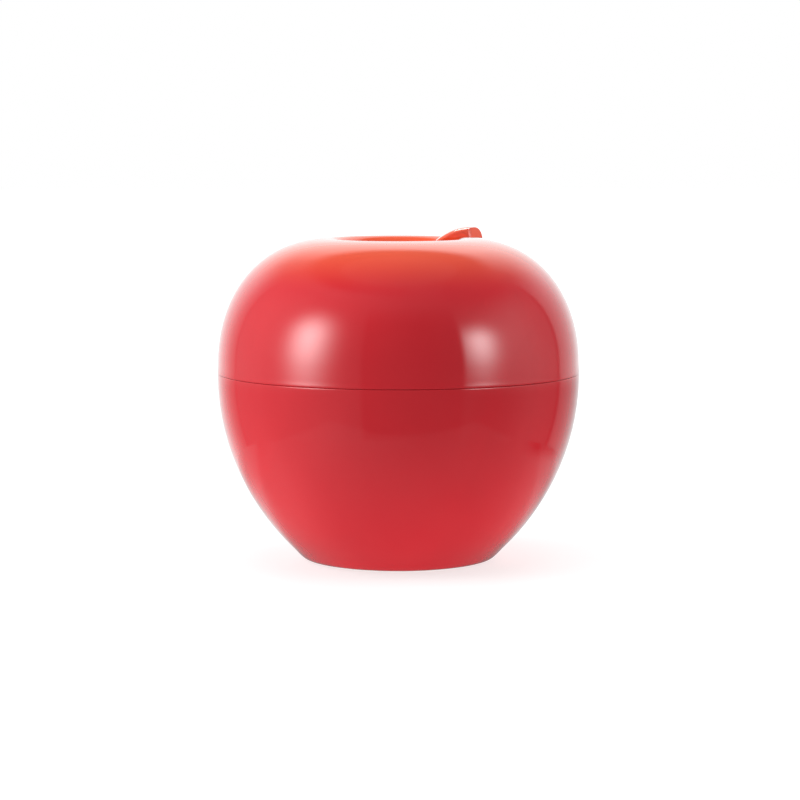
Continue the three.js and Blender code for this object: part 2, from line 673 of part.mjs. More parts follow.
// The stem is a hub in the dimple with an arm that climbs out, widens, and lies over the crown. It is the
// common part of three outlines: seen from its side, from above and from its end. A slanting facet is then
// cut across its near corner.
function stem() {
  const half = stemWidth / 2;
  const side = new THREE.Shape();
  side.moveTo(0, hubBottom);
  side.lineTo(hubRadius, hubBottom);
  const steps = 9;
  for (let i = 0; i <= steps; i++) {
    const u = hubRadius + 2 + ((stemReach - hubRadius - 2) * i) / steps;
    const far = Math.hypot(u, half);
    const astride = u < crownRadius && far > crownRadius;
    side.lineTo(u, (astride ? crownHeight : Math.max(roofHeight(u), roofHeight(far))) + 1.2 * gap);
  }
  side.lineTo(stemReach, crownHeight + 0.3);
  side.quadraticCurveTo(stemReach - 0.25 * stemNose, stemTop, stemReach - stemNose, stemTop);
  side.lineTo(stemReach - stemFlat, stemTop);
  const [run, climb] = [stemReach - hubRadius, stemTop - hubTop];
  side.bezierCurveTo(stemReach - 0.44 * run, stemTop, stemReach - 0.69 * run, hubTop + 0.81 * climb,
    hubRadius - 1, hubTop - 0.3);
  side.lineTo(0, hubTop - 0.3);
  side.closePath();

  const neck = stemNeck / 2;
  const plan = new THREE.Shape();
  plan.moveTo(0, -neck);
  plan.lineTo(hubRadius, -neck);
  plan.bezierCurveTo(hubRadius + 0.25 * run, -neck, crownRadius - 0.3 * run, -half, crownRadius - 1, -half);
  plan.lineTo(stemReach, -half);
  plan.lineTo(stemReach, half - stemRoll);
  plan.quadraticCurveTo(stemReach, half, stemReach - stemRoll, half);
  plan.lineTo(crownRadius - 1, half);
  plan.bezierCurveTo(crownRadius - 0.3 * run, half, hubRadius + 0.25 * run, neck, hubRadius, neck);
  plan.lineTo(0, neck);
  plan.closePath();

  const end = new THREE.Shape();
  end.moveTo(-half, hubBottom);
  end.lineTo(half, hubBottom);
  end.lineTo(half, crownHeight + 0.3);
  end.quadraticCurveTo(half, stemTop, half - stemRoll, stemTop);
  end.lineTo(-half + stemRound, stemTop);
  end.quadraticCurveTo(-half, stemTop, -half, stemTop - stemRound);
  end.closePath();

  const upright = { depth: stemTop, bevelEnabled: false, curveSegments: 6 };
  const fromAbove = solid(new THREE.ExtrudeGeometry(plan, upright));
  const facing = new THREE.Vector3().setFromSphericalCoords(1, THREE.MathUtils.degToRad(90 - facetLean),
    THREE.MathUtils.degToRad(facetTurn));
  const normal = [-facing.x, facing.z, -facing.y];
  const corner = [stemReach - stemFacet, -half, crownHeight + 0.3];
  const arm = slabAlongY(side, -half, half).intersect(fromAbove).intersect(slabAlongX(end, 0, stemReach))
    .trimByPlane(normal, normal[0] * corner[0] + normal[1] * corner[1] + normal[2] * corner[2]);
  const hub = turned([
    [0, hubBottom], [hubRadius - 0.6, hubBottom], [hubRadius, hubBottom + 0.6], [hubRadius, hubTop - 1.4],
    [hubRadius - 1.4, hubTop], [0, hubTop],
  ], 24);
  return cutFrom(arm.add(hub),
    column(rodRadius + gap, hubBottom - 1, rodTop + gap, 0, 0, 20),
    crossPin(pinRadius + gap, pinHeight, -hubRadius - 1, hubRadius + 1));
}

// ---------------------------------------------------------------- assembly

const apple = new THREE.Group();
apple.name = "apple_peeler_corer";

const lowerHalf = new THREE.Group();
lowerHalf.add(
  piece("lower_shell", lowerShell(), appleRed),
  piece("foot_ring", footRing(), silicone),
  piece("seam_seal", sealRing(), silicone),
  piece("tray", tray(), fleshWhite),
);
postBearings.forEach((bearing, i) => {
  const [x, y] = onCircle(postCircle, bearing);
  lowerHalf.add(piece(`tray_screw_${i + 1}`, screw(x, y, traySeat, trayScrewLength), turnedSteel));
});

const pinTip = bladeEnd - pivotDepth;
const pinFace = armOuter + gap / 2;
const peeler = new THREE.Group();
peeler.position.x = -peelerOffset;
peeler.add(
  piece("peeler_yoke", yoke(), fleshWhite),
  piece("peeler_blade", blade(), sheetSteel),
  piece("blade_pin_front", headedPin(pivotRadius, bladeAxis, -pinTip, -pinFace), turnedSteel),
  piece("blade_pin_back", headedPin(pivotRadius, bladeAxis, pinTip, pinFace), turnedSteel),
);
yokeScrews.forEach((y, i) => {
  peeler.add(piece(`yoke_screw_${i + 1}`, screw(0, y, yokeSeat, yokeScrewLength, true), turnedSteel));
});
lowerHalf.add(peeler);

const upperHalf = new THREE.Group();
const rivetTip = collarPlug - 1;
const rivetFace = sleeveRadius + gap / 2;
upperHalf.add(
  piece("upper_shell", upperShell(), appleRed),
  piece("corer_collar", collar(), fleshWhite),
  piece("corer_tube", corerTube(), sheetSteel),
  piece("tube_rivet_front", headedPin(rivetRadius, rivetHeight, -rivetTip, -rivetFace), turnedSteel),
  piece("tube_rivet_back", headedPin(rivetRadius, rivetHeight, rivetTip, rivetFace), turnedSteel),
  piece("plunger_bush", plungerBush(), fleshWhite),
  piece("rod_ring", rodRing(), silicone),
);
earBearings.forEach((bearing, i) => {
  const [x, y] = onCircle(earCircle, bearing);
  upperHalf.add(piece(`collar_screw_${i + 1}`, screw(x, y, collarSeat, collarScrewLength), turnedSteel));
});

const plunger = new THREE.Group();
plunger.add(
  piece("stem_handle", stem(), appleRed),
  piece("stem_pin", crossPin(pinRadius, pinHeight, 0.4 - hubRadius, hubRadius - 0.4), turnedSteel),
  piece("plunger_rod", plungerRod(), turnedSteel),
  piece("plunger_piston", piston(), fleshWhite),
  piece("piston_clip", pistonClip(), turnedSteel),
);

apple.add(lowerHalf, upperHalf, plunger);

export default apple;
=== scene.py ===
# %% [markdown]
# # An apple that holds a peeler and a corer
# The case parts at its widest ring. The top half is the grip of a corer: a toothed steel tube hangs under the
# dimple, and the stem works a plunger that pushes the core out. The bottom half is the grip of a peeler.
# First the imported model is loaded. It is the frame that every piece here has to fit, and it also shows which
# pieces move together.

# %% Load the frame
import math
import bpy
import bmesh
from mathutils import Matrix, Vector


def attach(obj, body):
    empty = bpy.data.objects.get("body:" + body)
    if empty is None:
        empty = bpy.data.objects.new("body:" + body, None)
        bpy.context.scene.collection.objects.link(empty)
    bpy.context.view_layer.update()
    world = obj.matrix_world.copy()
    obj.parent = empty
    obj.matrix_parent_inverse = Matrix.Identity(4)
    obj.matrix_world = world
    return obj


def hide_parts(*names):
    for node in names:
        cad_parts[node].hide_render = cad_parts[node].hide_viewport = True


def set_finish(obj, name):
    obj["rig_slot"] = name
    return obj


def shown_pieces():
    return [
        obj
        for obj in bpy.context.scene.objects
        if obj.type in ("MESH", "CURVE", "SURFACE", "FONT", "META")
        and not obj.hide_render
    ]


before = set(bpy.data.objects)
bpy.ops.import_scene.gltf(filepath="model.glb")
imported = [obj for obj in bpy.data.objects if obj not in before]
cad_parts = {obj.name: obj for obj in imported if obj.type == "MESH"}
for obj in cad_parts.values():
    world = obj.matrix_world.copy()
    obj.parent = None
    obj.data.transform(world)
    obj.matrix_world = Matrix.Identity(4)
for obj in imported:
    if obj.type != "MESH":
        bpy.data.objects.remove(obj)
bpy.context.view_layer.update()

MM = 0.001

# %% [markdown]
# ## The camera
# A small object on a table is pictured from a little way off with a long lens, so that its sides stay upright.
# The camera stands 0.7 m away and looks down by only 6 degrees, which shows the crown edge-on and leaves the
# dimple as a thin band behind it. The lens is placed before the pieces, so each can be judged through it.

# %% Camera
aim = Vector((0.43, 0, 42.4)) * MM
tilt = math.radians(6)
bpy.ops.object.camera_add(location=aim + Vector((0, -math.cos(tilt), math.sin(tilt))) * 0.695,
                          rotation=(math.pi / 2 - tilt, 0, 0))
camera = bpy.context.object
camera.name = "camera"
camera.data.sensor_width = 36
camera.data.lens = 117.5
camera.data.clip_start = 0.01
bpy.context.scene.camera = camera
print("camera", [round(v, 3) for v in camera.location], "lens", camera.data.lens)

# %% [markdown]
# ## How a turned piece is made
# Most of this object is round, and a round thing is easiest to make as on a lathe: draw half of its section
# once, then spin it about the upright axis. The section is a Bezier curve, because a curve keeps the belly of
# the apple true with very few points. Turned into a mesh, its sharp corners are bevelled a little, as every
# moulded or turned edge is, and the spin closes it into a solid. Doubles are merged before the faces are made
# to point outwards, because the spin leaves a seam where it ends.

# %% Helpers: selecting, finishing and turning
def only(piece):
    """Leaves just this piece selected and active, out of edit mode."""
    if bpy.context.object and bpy.context.object.mode != "OBJECT":
        bpy.ops.object.mode_set(mode="OBJECT")
    bpy.ops.object.select_all(action="DESELECT")
    piece.select_set(True)
    bpy.context.view_layer.objects.active = piece


def apply_modifier(piece, kind, **settings):
    only(piece)
    bpy.ops.object.modifier_add(type=kind)
    modifier = piece.modifiers[-1]
    for name, value in settings.items():
        setattr(modifier, name, value)
    bpy.ops.object.modifier_apply(modifier=modifier.name)


def clean(piece, smooth=35, merge=2e-6):
    """Merges doubles, turns faces outwards, puts the place into the mesh and smooths the gentle edges."""
    only(piece)
    bpy.ops.object.transform_apply(location=True, rotation=True, scale=True)
    bpy.ops.object.mode_set(mode="EDIT")
    bpy.ops.mesh.select_all(action="SELECT")
    bpy.ops.mesh.remove_doubles(threshold=merge)
    bpy.ops.mesh.normals_make_consistent(inside=False)
    bpy.ops.object.mode_set(mode="OBJECT")
    bpy.ops.object.shade_smooth_by_angle(angle=math.radians(smooth))
    return piece


def outline_curve(name, start, steps, closed, fine=12):
    """A section in X and Z, in millimetres. A step is a point for a straight line, or for a curve one or two
    control points and then its end."""
    bpy.ops.curve.primitive_bezier_curve_add(location=(0, 0, 0))
    curve = bpy.context.object
    curve.name = name
    curve.data.resolution_u = fine
    spline = curve.data.splines[0]
    knots = [[start, None, None]]  # place, handle before, handle after
    for step in steps:
        if isinstance(step[0], tuple):
            here, end = Vector(knots[-1][0]), Vector(step[-1])
            pulls = [p + (Vector(step[0]) - p) * 2 / 3 for p in (here, end)] if len(step) == 2 else step[:2]
            knots[-1][2] = pulls[0]
            knots.append([end, pulls[1], None])
        else:
            knots.append([step, None, None])
    if closed and Vector(knots[-1][0]) == Vector(start):
        knots[0][1] = knots.pop()[1]
    spline.bezier_points.add(len(knots) - len(spline.bezier_points))
    for point, (place, before, after) in zip(spline.bezier_points, knots):
        point.co = Vector((place[0], 0, place[1])) * MM
        for side, handle in (("left", before), ("right", after)):
            setattr(point, f"handle_{side}_type", "FREE" if handle else "VECTOR")
        for side, handle in (("left", before), ("right", after)):
            if handle:
                setattr(point, f"handle_{side}", Vector((handle[0], 0, handle[1])) * MM)
    spline.use_cyclic_u = closed
    return curve


def arc(x, z, radius, start, end):
    """The curved step of an outline that follows a circle from one angle to another, up to 90 degrees on."""
    turns = [math.radians(start), math.radians(end)]
    pull = 4 / 3 * math.tan((turns[1] - turns[0]) / 4) * radius
    (x1, z1), (x2, z2) = [(x + radius * math.cos(t), z + radius * math.sin(t)) for t in turns]
    return ((x1 - pull * math.sin(turns[0]), z1 + pull * math.cos(turns[0])),
            (x2 + pull * math.sin(turns[1]), z2 - pull * math.cos(turns[1])), (x2, z2))


def soften_corners(piece, radius, sharp=25, segments=3, keep_axis=True):
    """Bevels the corners of a flat wire outline, apart from those on the axis."""
    only(piece)
    bpy.ops.object.mode_set(mode="EDIT")
    bpy.ops.mesh.select_mode(type="VERT")
    mesh = bmesh.from_edit_mesh(piece.data)
    for vert in mesh.verts:
        ends = [edge.other_vert(vert).co - vert.co for edge in vert.link_edges]
        bend = math.degrees(math.pi - ends[0].angle(ends[1])) if len(ends) == 2 else 0
        vert.select_set(bend > sharp and not (keep_axis and vert.co.x < 1e-6))
    mesh.select_flush_mode()
    bmesh.update_edit_mesh(piece.data)
    bpy.ops.mesh.bevel(offset=radius * MM, segments=segments, affect="VERTICES", clamp_overlap=True)
    bpy.ops.object.mode_set(mode="OBJECT")


def turn(name, start, steps, closed=True, soften=0.15, sides=96, smooth=35, fine=12):
    """Spins an outline about the upright axis into a closed piece."""
    piece = outline_curve(name, start, steps, closed, fine)
    only(piece)
    bpy.ops.object.convert(target="MESH")
    piece = bpy.context.object
    if soften:
        soften_corners(piece, soften)
    only(piece)
    bpy.ops.object.mode_set(mode="EDIT")
    bpy.ops.mesh.select_all(action="SELECT")
    bpy.ops.mesh.spin(steps=sides, angle=2 * math.pi, center=(0, 0, 0), axis=(0, 0, 1))
    clean(piece, smooth)
    print(f"{name}: {len(piece.data.polygons)} faces")
    return piece

# %% [markdown]
# ## How pieces are cut, joined and bent to shape
# Holes, slots and bosses are booleans between simple solids: a post, a bar, or a slab with any outline. A tool
# is deleted once it has done its work. The exact solver is used because many of the walls are thinner than a
# millimetre. A slab is drawn in X and Z like a section, then filled and extruded along Y.

# %% Helpers: cutting, joining and placing
def combine(piece, operation, tools):
    for tool in tools:
        apply_modifier(piece, "BOOLEAN", operation=operation, object=tool, solver="EXACT")
        bpy.data.objects.remove(tool)
    return piece


def cut(piece, *tools):
    return combine(piece, "DIFFERENCE", tools)


def weld(piece, *tools):
    return combine(piece, "UNION", tools)


def keep_shared(piece, *tools):
    return combine(piece, "INTERSECT", tools)


def place(piece, rotate=(0, 0, 0), move=(0, 0, 0)):
    """Turns a piece, in degrees, then moves it, in millimetres, and puts both into its mesh."""
    only(piece)
    piece.rotation_euler = [math.radians(angle) for angle in rotate]
    piece.location = Vector(move) * MM
    bpy.ops.object.transform_apply(location=True, rotation=True, scale=True)
    return piece


def polar(radius, bearing):
    return radius * math.cos(math.radians(bearing)), radius * math.sin(math.radians(bearing))


def post(radius, low, high, x=0, y=0, sides=32):
    """An upright cylinder from one height to another."""
    bpy.ops.mesh.primitive_cylinder_add(vertices=sides, radius=radius * MM, depth=(high - low) * MM)
    return place(bpy.context.object, move=(x, y, (low + high) / 2))


def pin_hole(radius, z, low, high, x=0):
    """A cylinder that lies along Y."""
    return place(post(radius, -high, -low), rotate=(-90, 0, 0), move=(x, 0, z))


def bar(low, high, bearing=0):
    """A box between two corners, then turned about the upright axis."""
    bpy.ops.mesh.primitive_cube_add(size=MM)
    box = bpy.context.object
    box.scale = [b - a for a, b in zip(low, high)]
    place(box, move=[(a + b) / 2 for a, b in zip(low, high)])
    return place(box, rotate=(0, 0, bearing))


def slab(name, start, steps, low, high, soften=0, fine=12):
    """An outline in X and Z, filled and made thick from low to high along Y."""
    piece = outline_curve(name, start, steps, True, fine)
    only(piece)
    bpy.ops.object.convert(target="MESH")
    piece = bpy.context.object
    if soften:
        soften_corners(piece, soften, keep_axis=False)
    only(piece)
    bpy.ops.object.mode_set(mode="EDIT")
    bpy.ops.mesh.select_all(action="SELECT")
    bpy.ops.mesh.remove_doubles(threshold=1e-6)
    bpy.ops.mesh.edge_face_add()
    bpy.ops.mesh.extrude_region_move(TRANSFORM_OT_translate={"value": (0, (high - low) * MM, 0)})
    bpy.ops.mesh.select_all(action="SELECT")
    bpy.ops.mesh.normals_make_consistent(inside=False)
    bpy.ops.object.mode_set(mode="OBJECT")
    return place(piece, move=(0, low, 0))


def fit(piece, body, slot, *nodes):
    """Makes a piece ride on a body and stand for the plain nodes that it refines."""
    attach(piece, body)
    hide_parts(*nodes)
    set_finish(piece, slot)
    return piece

# %% [markdown]
# ## The lower half of the case
# The belly is one moulding. From a flat underside it turns up over a rounded foot, leans out at about 45 degrees,
# and stands upright where it meets the seam. Inside the seam it carries a thin tongue that the top half slips
# over, with a groove for a soft ring. The outline goes once round the section: up the outside, over the tongue,
# down the inside, and back along the floor.
# Six ribs stand inside the belly to carry the tray. They are trimmed to its curve by keeping only what they
# share with a plug of nearly the same outline, and so they end inside the wall. Last, the floor is bored and
# counterbored for the three screws of the tray.

# %% Lower shell
SCREW_HOLE, SCREW_HEAD_HOLE, SCREW_BOSS = 1.6, 2.9, 3.2  # radii
TRAY_SCREWS = [polar(15.9, bearing) for bearing in (90, 210, 330)]
BELLY = ((38.3, 13.37), (48, 29.1), (48, 49.6))
lower_shell = turn("lower_shell_moulding", (0, 0.5), [
    (19.4, 0.5), (19.4, 1.8), (23.0, 1.8), (23.0, 0.5), (24.4, 0.5), ((25.75, 0.5), (26.5, 1.75), (28.9, 4.1)),
    BELLY, ((48, 49.95), (47.7, 49.95)), (46.6, 49.95), (46.6, 51.0), (45.7, 51.0), (45.7, 53.1), (46.6, 53.1),
    (46.6, 54.4), (45.0, 54.4), (45.0, 42.6), ((44.4, 29.5), (35.6, 14.7), (28.6, 7.6)),
    ((26.5, 5.5), (24.6, 3.4), (22.0, 3.4)), (0, 3.4),
], closed=False, soften=0.12, sides=128, fine=16)
plug = turn("belly_plug", (0, 4.9), [
    (27.9, 4.9), ((37.2, 14.2), (46.8, 29.3), (46.8, 49.0)), (0, 49.0),
], closed=False, soften=0, sides=64)
ribs = keep_shared(weld(*[bar((40.5, -0.7, 19.9), (48, 0.7, 39.8), 30 + 60 * i) for i in range(6)]), plug)
weld(lower_shell, ribs)
for x, y in TRAY_SCREWS:
    cut(lower_shell, post(SCREW_HOLE, 0, 5, x, y), post(SCREW_HEAD_HOLE, 0, 2.0, x, y))
fit(clean(lower_shell, 30), "base", "red_plastic", "lower_shell")
print("lower shell", len(lower_shell.data.polygons), "faces")

# %% [markdown]
# ## The upper half of the case
# The shoulder rises from the seam, rolls over a ring at the crown and drops into the dimple, where a hole lets
# the plunger through. Its lower lip is thinned to clear the tongue. The rim at the seam flares by a tenth of a
# millimetre and its edge is rounded, which is what draws the bright line along the seam. Inside are three screw
# bosses, and six webs that tie the dimple to the dome.

# %% Upper shell
COLLAR_BEARINGS = (60, 180, 300)
COLLAR_SCREWS = [polar(15.2, bearing) for bearing in COLLAR_BEARINGS]
SHOULDER = ((48, 70.8), (36.8, 85.4), (18.3, 85.4))
DIMPLE = ((13.26, 85.4), (12.5, 75.4), (7.8, 75.4))
upper_shell = turn("upper_shell_moulding", (47.8, 50.0), [
    ((48, 50.0), (48, 50.25)), (48, 50.6), ((47.93, 51.1), (47.9, 51.9)), SHOULDER, DIMPLE, (6.2, 75.4), (6.2, 73.0),
    (8.6, 73.0), ((13.2, 73.3), (13.7, 83.0), (18.3, 83.0)), ((35.0, 83.0), (45.3, 70.5), (45.6, 56.4)),
    (46.9, 55.1), (46.9, 50.0),
], soften=0.22, sides=128, fine=18)
plug = turn("dome_plug", (0, 50), [
    (46.6, 50.0), ((46.8, 70.4), (36.0, 84.2), (18.3, 84.2)), ((13.5, 84.2), (13.0, 74.2), (8.2, 74.2)), (0, 74.2),
], closed=False, soften=0, sides=64)
bosses = [post(SCREW_BOSS, 73.0, 84.5, x, y) for x, y in COLLAR_SCREWS]
webs = [bar((15.2, -0.7, 77), (47.5, 0.7, 85), 60 * i) for i in range(6)]
weld(upper_shell, keep_shared(weld(*bosses, *webs), plug))
for x, y in COLLAR_SCREWS:
    cut(upper_shell, post(SCREW_HOLE, 72, 80.05, x, y))
fit(clean(upper_shell, 30), "top", "red_plastic", "upper_shell")
print("upper shell", len(upper_shell.data.polygons), "faces")

# %% [markdown]
# ## The soft rings
# A silicone ring is pressed into a groove under the apple, and it is all that touches the table. A second one
# sits round the tongue and gives the halves their grip on each other. The third, a cord of round section, wipes
# the plunger rod, and has the thin line round it where its mould parts.

# %% Silicone rings
foot_ring = turn("silicone_foot", (20.1, 0), [
    (22.3, 0), ((22.7, 0), (22.7, 0.4)), (22.7, 1.5), (19.7, 1.5), (19.7, 0.4), ((19.7, 0), (20.1, 0)),
], soften=0.1, sides=128)
fit(foot_ring, "base", "silicone", "foot_ring")
seam_seal = turn("silicone_seal", (46.0, 51.3), [
    (46.4, 51.3), ((46.75, 51.3), (46.75, 51.65)), (46.75, 52.45), ((46.75, 52.8), (46.4, 52.8)), (46.0, 52.8),
], soften=0.1, sides=128)
fit(seam_seal, "base", "silicone", "seam_seal")
rod_ring = turn("rod_wiper_ring", (4.45, 71.9), [
    (4.45, 72.0), (4.42, 72.03), arc(3.75, 71.95, 0.68, 7, 90), arc(3.75, 71.95, 0.68, 90, 173),
    (3.05, 72.0), (3.05, 71.9), (3.08, 71.87), arc(3.75, 71.95, 0.68, 187, 270), arc(3.75, 71.95, 0.68, 270, 353),
], soften=0, sides=64, smooth=60)
fit(rod_ring, "top", "silicone", "rod_ring")

# %% [markdown]
# ## The tray
# The tray covers the hollow of the lower half. Its rim stands inside the tongue, and a deep well in the middle
# takes the end of the corer, so that the teeth are out of reach when the halves are together. Webs under its
# floor run out from the well. Three posts rest on the case's floor and take the screws from below, and two
# bosses take the screws of the peeler.

# %% Tray
WELL = 12.2  # inner radius of the well
PEELER_X = -27  # the swivel axis of the blade, from the apple's axis
YOKE_SCREWS = (-11.53, 11.53)  # in Y
tray = turn("tray_moulding", (0, 3.7), [
    (12.9, 3.7), ((14.1, 3.7), (14.1, 4.9)), (14.1, 40.1), (41.84, 40.1), (44.5, 42.0), (44.5, 49.1), (43.0, 49.1),
    (43.0, 43.6), ((43.0, 42.0), (41.4, 42.0)), (14.9, 42.0), ((14.1, 42.0), (13.9, 42.8)), (13.7, 43.6),
    (WELL, 43.6), (WELL, 6.6), ((WELL, 5.6), (WELL - 1, 5.6)), (0, 5.6),
], closed=False, soften=0.3, sides=128)
for i in range(6):
    web = slab("web", (13.6, 31.1), [((17.1, 37.1), (35.5, 38.1)), (35.5, 40.6), (13.6, 40.6)], -0.7, 0.7)
    weld(tray, place(web, rotate=(0, 0, 60 * i)))
for x, y in TRAY_SCREWS:
    weld(tray, cut(post(SCREW_BOSS, 3.7, 41.5, x, y), post(WELL, 5.6, 50, sides=128)))
    cut(tray, post(SCREW_HOLE, 2, 14.85, x, y))
for y in YOKE_SCREWS:
    weld(tray, post(SCREW_BOSS, 33.05, 41.5, PEELER_X, y))
    cut(tray, post(SCREW_HOLE, 34.95, 44, PEELER_X, y))
fit(clean(tray, 30), "base", "ivory_plastic", "tray")
print("tray", len(tray.data.polygons), "faces")

# %% [markdown]
# ## The peeler
# The yoke is the common part of two slabs: a U seen from the side of the blade, and a tapering arm with a round
# head seen from its end. Its edges are bevelled before the holes are cut, because a bevel runs cleanly only
# along the long edges of a simple shape. The steps inside the arms stop the swing of the blade.

# %% Peeler yoke
ARM_HEIGHT = 66.09  # height of the blade's swivel axis
PIVOT_HOLE = 1.5
yoke = slab("peeler_yoke_moulding", (-16.82, 42.3), [
    (16.82, 42.3), ((22.82, 42.3), (22.82, 48.3)), (22.82, 72), (19.22, 72), (19.22, 61.6), (17.92, 61.6),
    (17.92, 49.3), ((17.92, 46.3), (14.92, 46.3)), (-14.92, 46.3), ((-17.92, 46.3), (-17.92, 49.3)),
    (-17.92, 61.6), (-19.22, 61.6), (-19.22, 72), (-22.82, 72), (-22.82, 48.3), ((-22.82, 42.3), (-16.82, 42.3)),
], -5.5, 5.5)
place(yoke, rotate=(0, 0, 90))
side = slab("yoke_side", (-5.5, 42.3), [
    (5.5, 42.3), (5.5, 46.3), ((3.4, 50.3), (4.2, ARM_HEIGHT)), arc(0, ARM_HEIGHT, 4.2, 0, 90),
    arc(0, ARM_HEIGHT, 4.2, 90, 180), ((-3.4, 50.3), (-5.5, 46.3)),
], -24, 24)
keep_shared(yoke, side)
apply_modifier(yoke, "BEVEL", width=0.35 * MM, segments=3, limit_method="ANGLE", angle_limit=math.radians(40))
cut(yoke, pin_hole(PIVOT_HOLE, ARM_HEIGHT, -24, 24))
for y in YOKE_SCREWS:
    cut(yoke, post(SCREW_HOLE, 42, 45, 0, y), post(SCREW_HEAD_HOLE, 44.8, 47, 0, y))
place(yoke, move=(PEELER_X, 0, 0))
fit(clean(yoke, 30, merge=2e-5), "base", "ivory_plastic", "peeler_yoke")
print("yoke", len(yoke.data.polygons), "faces")

# %% [markdown]
# ## The swivel blade
# The blade is an arched strip of sheet steel. Its slot is ground from below, so that both long edges are sharp at
# the top, and it ends in half rounds. An ear at each end hangs it below its pins, which is what makes it swing
# back level by itself. Each pin has a low domed head.

# %% Blade and its pins
ARCH = 56.79  # height of the centre of its arched section
BLADE_END = 18.72
RIVET_HEIGHT = 67.6


def on_arch(radius, angle):
    x, z = polar(radius, angle)
    return x, ARCH + z


blade = slab("swivel_blade", on_arch(9, 54.7), [
    arc(0, ARCH, 9, 54.7, 125.3), on_arch(8.2, 125.3), arc(0, ARCH, 8.2, 125.3, 54.7),
], -BLADE_END, BLADE_END, fine=24)
for low, high in ((-BLADE_END, -17.92), (17.92, BLADE_END)):
    ear = slab("ear", on_arch(8.6, 62), [
        arc(0, ARCH, 8.6, 62, 118), (-2.9, ARM_HEIGHT), arc(0, ARM_HEIGHT, 2.9, 180, 90),
        arc(0, ARM_HEIGHT, 2.9, 90, 0),
    ], low, high, fine=16)
    weld(blade, ear)
groove = slab("grinding", (-2.4, ARCH + 7.4), [(2.4, ARCH + 7.4), (1.2, ARCH + 8.9), (-1.2, ARCH + 8.9)], -14.1, 14.1)
cut(blade, groove, bar((-1.2, -14.1, 64), (1.2, 14.1, 67)), post(1.2, 60, 70, 0, -14.1), post(1.2, 60, 70, 0, 14.1),
    pin_hole(PIVOT_HOLE, ARM_HEIGHT, -20, 20))
place(blade, move=(PEELER_X, 0, 0))
fit(clean(blade, 25), "blade", "sheet_steel", "peeler_blade")


def headed_pin(name, radius, length):
    """A pin with a low domed head under z = 0, and its shank above."""
    head = radius + 0.8
    return turn(name, (0, -0.6), [
        ((0.6 * head, -0.6), (head, -0.35), (head, -0.1)), (head, 0), (radius, 0), (radius, length - 0.25),
        (radius - 0.25, length), (0, length),
    ], closed=False, soften=0.04, sides=48)


for name, side in (("front", -1), ("back", 1)):
    pin = headed_pin(f"swivel_pin_{name}", 1.2, 6.45)
    place(pin, rotate=(90 * side, 0, 0), move=(PEELER_X, 22.97 * side, ARM_HEIGHT))
    fit(pin, "base", "turned_steel", f"blade_pin_{name}")
    rivet = headed_pin(f"tube_rivet_{name}_turned", 1.1, 4.45)
    place(rivet, rotate=(90 * side, 0, 0), move=(0, 12.45 * side, RIVET_HEIGHT))
    fit(rivet, "top", "turned_steel", f"tube_rivet_{name}")
print("blade", len(blade.data.polygons), "faces")

# %% [markdown]
# ## The screws
# Eight screws of one kind hold the object together. Each is turned with a domed head and a ringed shank, and the
# cross recess is cut by two bars. Every screw gets a mesh of its own, a little turned, because no two screws are
# ever driven to the same angle.

# %% Screws
def driven_screw(name, length, rotate, move, body, node):
    """A screw whose head sits on z = 0 before it is turned and moved to its place."""
    rings = []
    bottom = 1.0
    while bottom + 1.6 < length:
        rings += [(1.3, bottom), (1.3, bottom + 0.12), (1.0, bottom + 0.4), (1.3, bottom + 0.68)]
        bottom += 0.8
    screw = turn(name, (0, -1.2), [
        (1.5, -1.2), ((2.6, -1.1), (2.6, -0.35)), (2.6, 0), *rings, (1.3, length - 1.2), (0, length),
    ], closed=False, soften=0.06, sides=32, smooth=40)
    cut(screw, weld(bar((-1.5, -0.25, -2), (1.5, 0.25, -0.5)), bar((-0.25, -1.5, -2), (0.25, 1.5, -0.5))))
    place(screw, rotate=(0, 0, 37 * length))
    place(screw, rotate=rotate, move=move)
    fit(clean(screw, 40), body, "turned_steel", node)


for i in range(3):
    driven_screw(f"tray_screw_{i + 1}_turned", 12, (0, 0, 25 * i), (*TRAY_SCREWS[i], 1.85),
                 "base", f"tray_screw_{i + 1}")
    driven_screw(f"collar_screw_{i + 1}_turned", 9.5, (0, 0, 40 * i), (*COLLAR_SCREWS[i], 69.55),
                 "top", f"collar_screw_{i + 1}")
for i, y in enumerate(YOKE_SCREWS):
    driven_screw(f"yoke_screw_{i + 1}_turned", 9, (180, 0, 65 * i), (PEELER_X, y, 44.95),
                 "base", f"yoke_screw_{i + 1}")

# %% [markdown]
# ## The corer
# The corer is rolled from thin sheet, so it's an open tube with a slit along one side. Its mouth draws in a
# little, and the outside of the edge is ground thin. The notches between the teeth are one slab, turned to
# sixteen bearings. The collar clamps the top of the tube between a sleeve and a plug, with a rivet through all
# three on each side. The slit ends square, so that a key on the plunger can run all the way up it.

# %% Corer tube and its collar
TEETH = 16
RIVET_HOLE = 1.4
tube = turn("rolled_corer_tube", (9.0, 7.6), [
    (9.25, 7.6), (9.79, 9.4), (10.0, 13.6), (10.0, 69.1), (9.3, 69.1), (9.3, 13.6), (9.0, 7.6),
], soften=0.03, sides=160, smooth=20)
for i in range(TEETH):
    notch = slab("notch", (-1.81, 7.2), [(1.81, 7.2), ((0.5, 9.5), (0, 10.0)), ((-0.5, 9.5), (-1.81, 7.2))], 7, 11)
    cut(tube, place(notch, rotate=(0, 0, 360 / TEETH * (i + 0.5))))
cut(tube, bar((7.3, -1.3, 6.6), (11, 1.3, 62.5)), pin_hole(RIVET_HOLE, RIVET_HEIGHT, -11, 11))
fit(clean(tube, 20), "top", "sheet_steel", "corer_tube")

